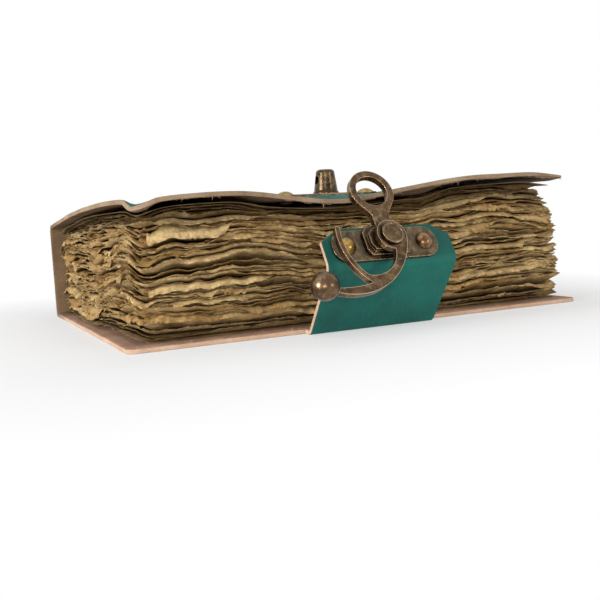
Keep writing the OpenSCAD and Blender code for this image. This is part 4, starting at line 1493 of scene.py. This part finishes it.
@dataclass(frozen=True)
class Studio:
    """Camera, floor, lamps and background."""

    camera_place: tuple[float, float, float] = (-0.148118, -0.317151, 0.041895)
    yaw: float = 0.434819
    pitch: float = 0.108208
    roll: float = -0.051292
    focal: float = 51.0004
    floor_radius: float = 4.0
    shadow_half: tuple[float, float, float] = (0.089, 0.075, 0.0)
    fade: tuple[float, float] = (-0.07, 0.09)
    ambient: float = 0.5

    def build(self) -> None:
        """Makes everything round the notebook."""
        self.build_camera()
        self.build_floor()
        self.build_lamps()
        self.build_world()

    def build_camera(self) -> None:
        """Sets the camera at the photograph's viewing angle."""
        yaw, pitch, roll = self.yaw, self.pitch, self.roll
        ahead = Vector((math.sin(yaw) * math.cos(pitch), math.cos(yaw) * math.cos(pitch), -math.sin(pitch)))
        right = Vector((math.cos(yaw), -math.sin(yaw), 0))
        up = right.cross(ahead)
        right_rolled = math.cos(roll) * right + math.sin(roll) * up
        up_rolled = -math.sin(roll) * right + math.cos(roll) * up
        data = bpy.data.cameras.new("camera")
        data.lens, data.sensor_width = self.focal, 36
        data.clip_start, data.clip_end = 0.01, 20
        camera = bpy.data.objects.new("camera", data)
        turn = Matrix((right_rolled, up_rolled, -ahead)).transposed().to_4x4()
        camera.matrix_world = Matrix.Translation(self.camera_place) @ turn
        bpy.context.scene.collection.objects.link(camera)
        bpy.context.scene.camera = camera

    def build_floor(self) -> None:
        """Makes the pale floor, which fades into the white background away from the notebook."""
        bm = bmesh.new()
        bmesh.ops.create_circle(bm, cap_ends=True, segments=96, radius=self.floor_radius)
        finish = Shader("pale_floor")
        finish.give(Base_Color=(0.86, 0.86, 0.86, 1), Roughness=0.9, Specular_IOR_Level=0.1)
        glow = finish.node("Emission", WHITE, 1.0)
        side = finish.node("VectorMath", finish.object_place, operation="ABSOLUTE").outputs[0]
        past = finish.node("VectorMath", side, self.shadow_half, operation="SUBTRACT").outputs[0]
        outside = finish.node("VectorMath", past, (0.0, 0.0, 0.0), operation="MAXIMUM").outputs[0]
        distance = finish.node("VectorMath", outside, operation="LENGTH").outputs["Value"]
        share = finish.sum(finish.remap(distance, *self.fade), finish.seen(), "MULTIPLY")
        mixed = finish.node("MixShader", share, finish.skin.outputs[0], glow.outputs[0])
        finish.feed(finish.output.inputs[0], mixed.outputs[0])
        floor = new_piece("floor", bm, [finish.material])

    def lamp(self, name: str, place: tuple, aim: tuple, size: float, power: float, tint: tuple) -> None:
        """Adds a soft square lamp that faces a point."""
        data = bpy.data.lights.new(name, "AREA")
        data.size, data.energy, data.color = size, power, tint
        lamp = bpy.data.objects.new(name, data)
        way = Vector(aim) - Vector(place)
        lamp.matrix_world = Matrix.Translation(place) @ way.to_track_quat("-Z", "Y").to_matrix().to_4x4()
        bpy.context.scene.collection.objects.link(lamp)

    def build_lamps(self) -> None:
        """Adds the overhead lamp, one at the head, one in front and a weak one at the tail."""
        self.lamp("lamp_over", (-0.3, -0.2, 0.95), (0, 0, 0.02), 0.7, 0.9, (1, 0.985, 0.96))
        self.lamp("lamp_head", (-1.05, -0.25, 0.22), (-0.05, 0, 0.03), 0.4, 10.5, (0.98, 0.99, 1))
        self.lamp("lamp_front", (-0.55, -1.0, 0.16), (0, -0.03, 0.03), 0.25, 4.6, (1, 0.99, 0.97))
        self.lamp("lamp_tail", (0.5, -0.9, 0.2), (0, 0, 0.03), 0.25, 2.2, (0.98, 0.985, 1))

    def build_world(self) -> None:
        """Gives even light all round, and white to what the camera sees."""
        world = bpy.data.worlds.new("studio")
        world.use_nodes = True
        nodes = Nodes(world.node_tree)
        light, white = (nodes.node("Background", WHITE, power) for power in (self.ambient, 1.0))
        mixed = nodes.node("MixShader", nodes.seen(), light.outputs[0], white.outputs[0])
        nodes.node("OutputWorld", mixed.outputs[0])
        bpy.context.scene.world = world
        bpy.context.scene.view_settings.view_transform = "Standard"


def main() -> None:
    """Builds the notebook's looks round the fixed frame."""
    logging.basicConfig(level=logging.INFO, format="%(name)s: %(message)s")
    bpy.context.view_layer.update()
    Studio().build()
    finishes = Finishes()
    LeatherBack().build(finishes)
    LeatherFront().build(finishes)
    LeatherStrap().build(finishes)
    EdgeFibres().build(finishes)
    Leaves().build(finishes)
    Clasp().build(finishes)


if __name__ == "__main__":
    main()
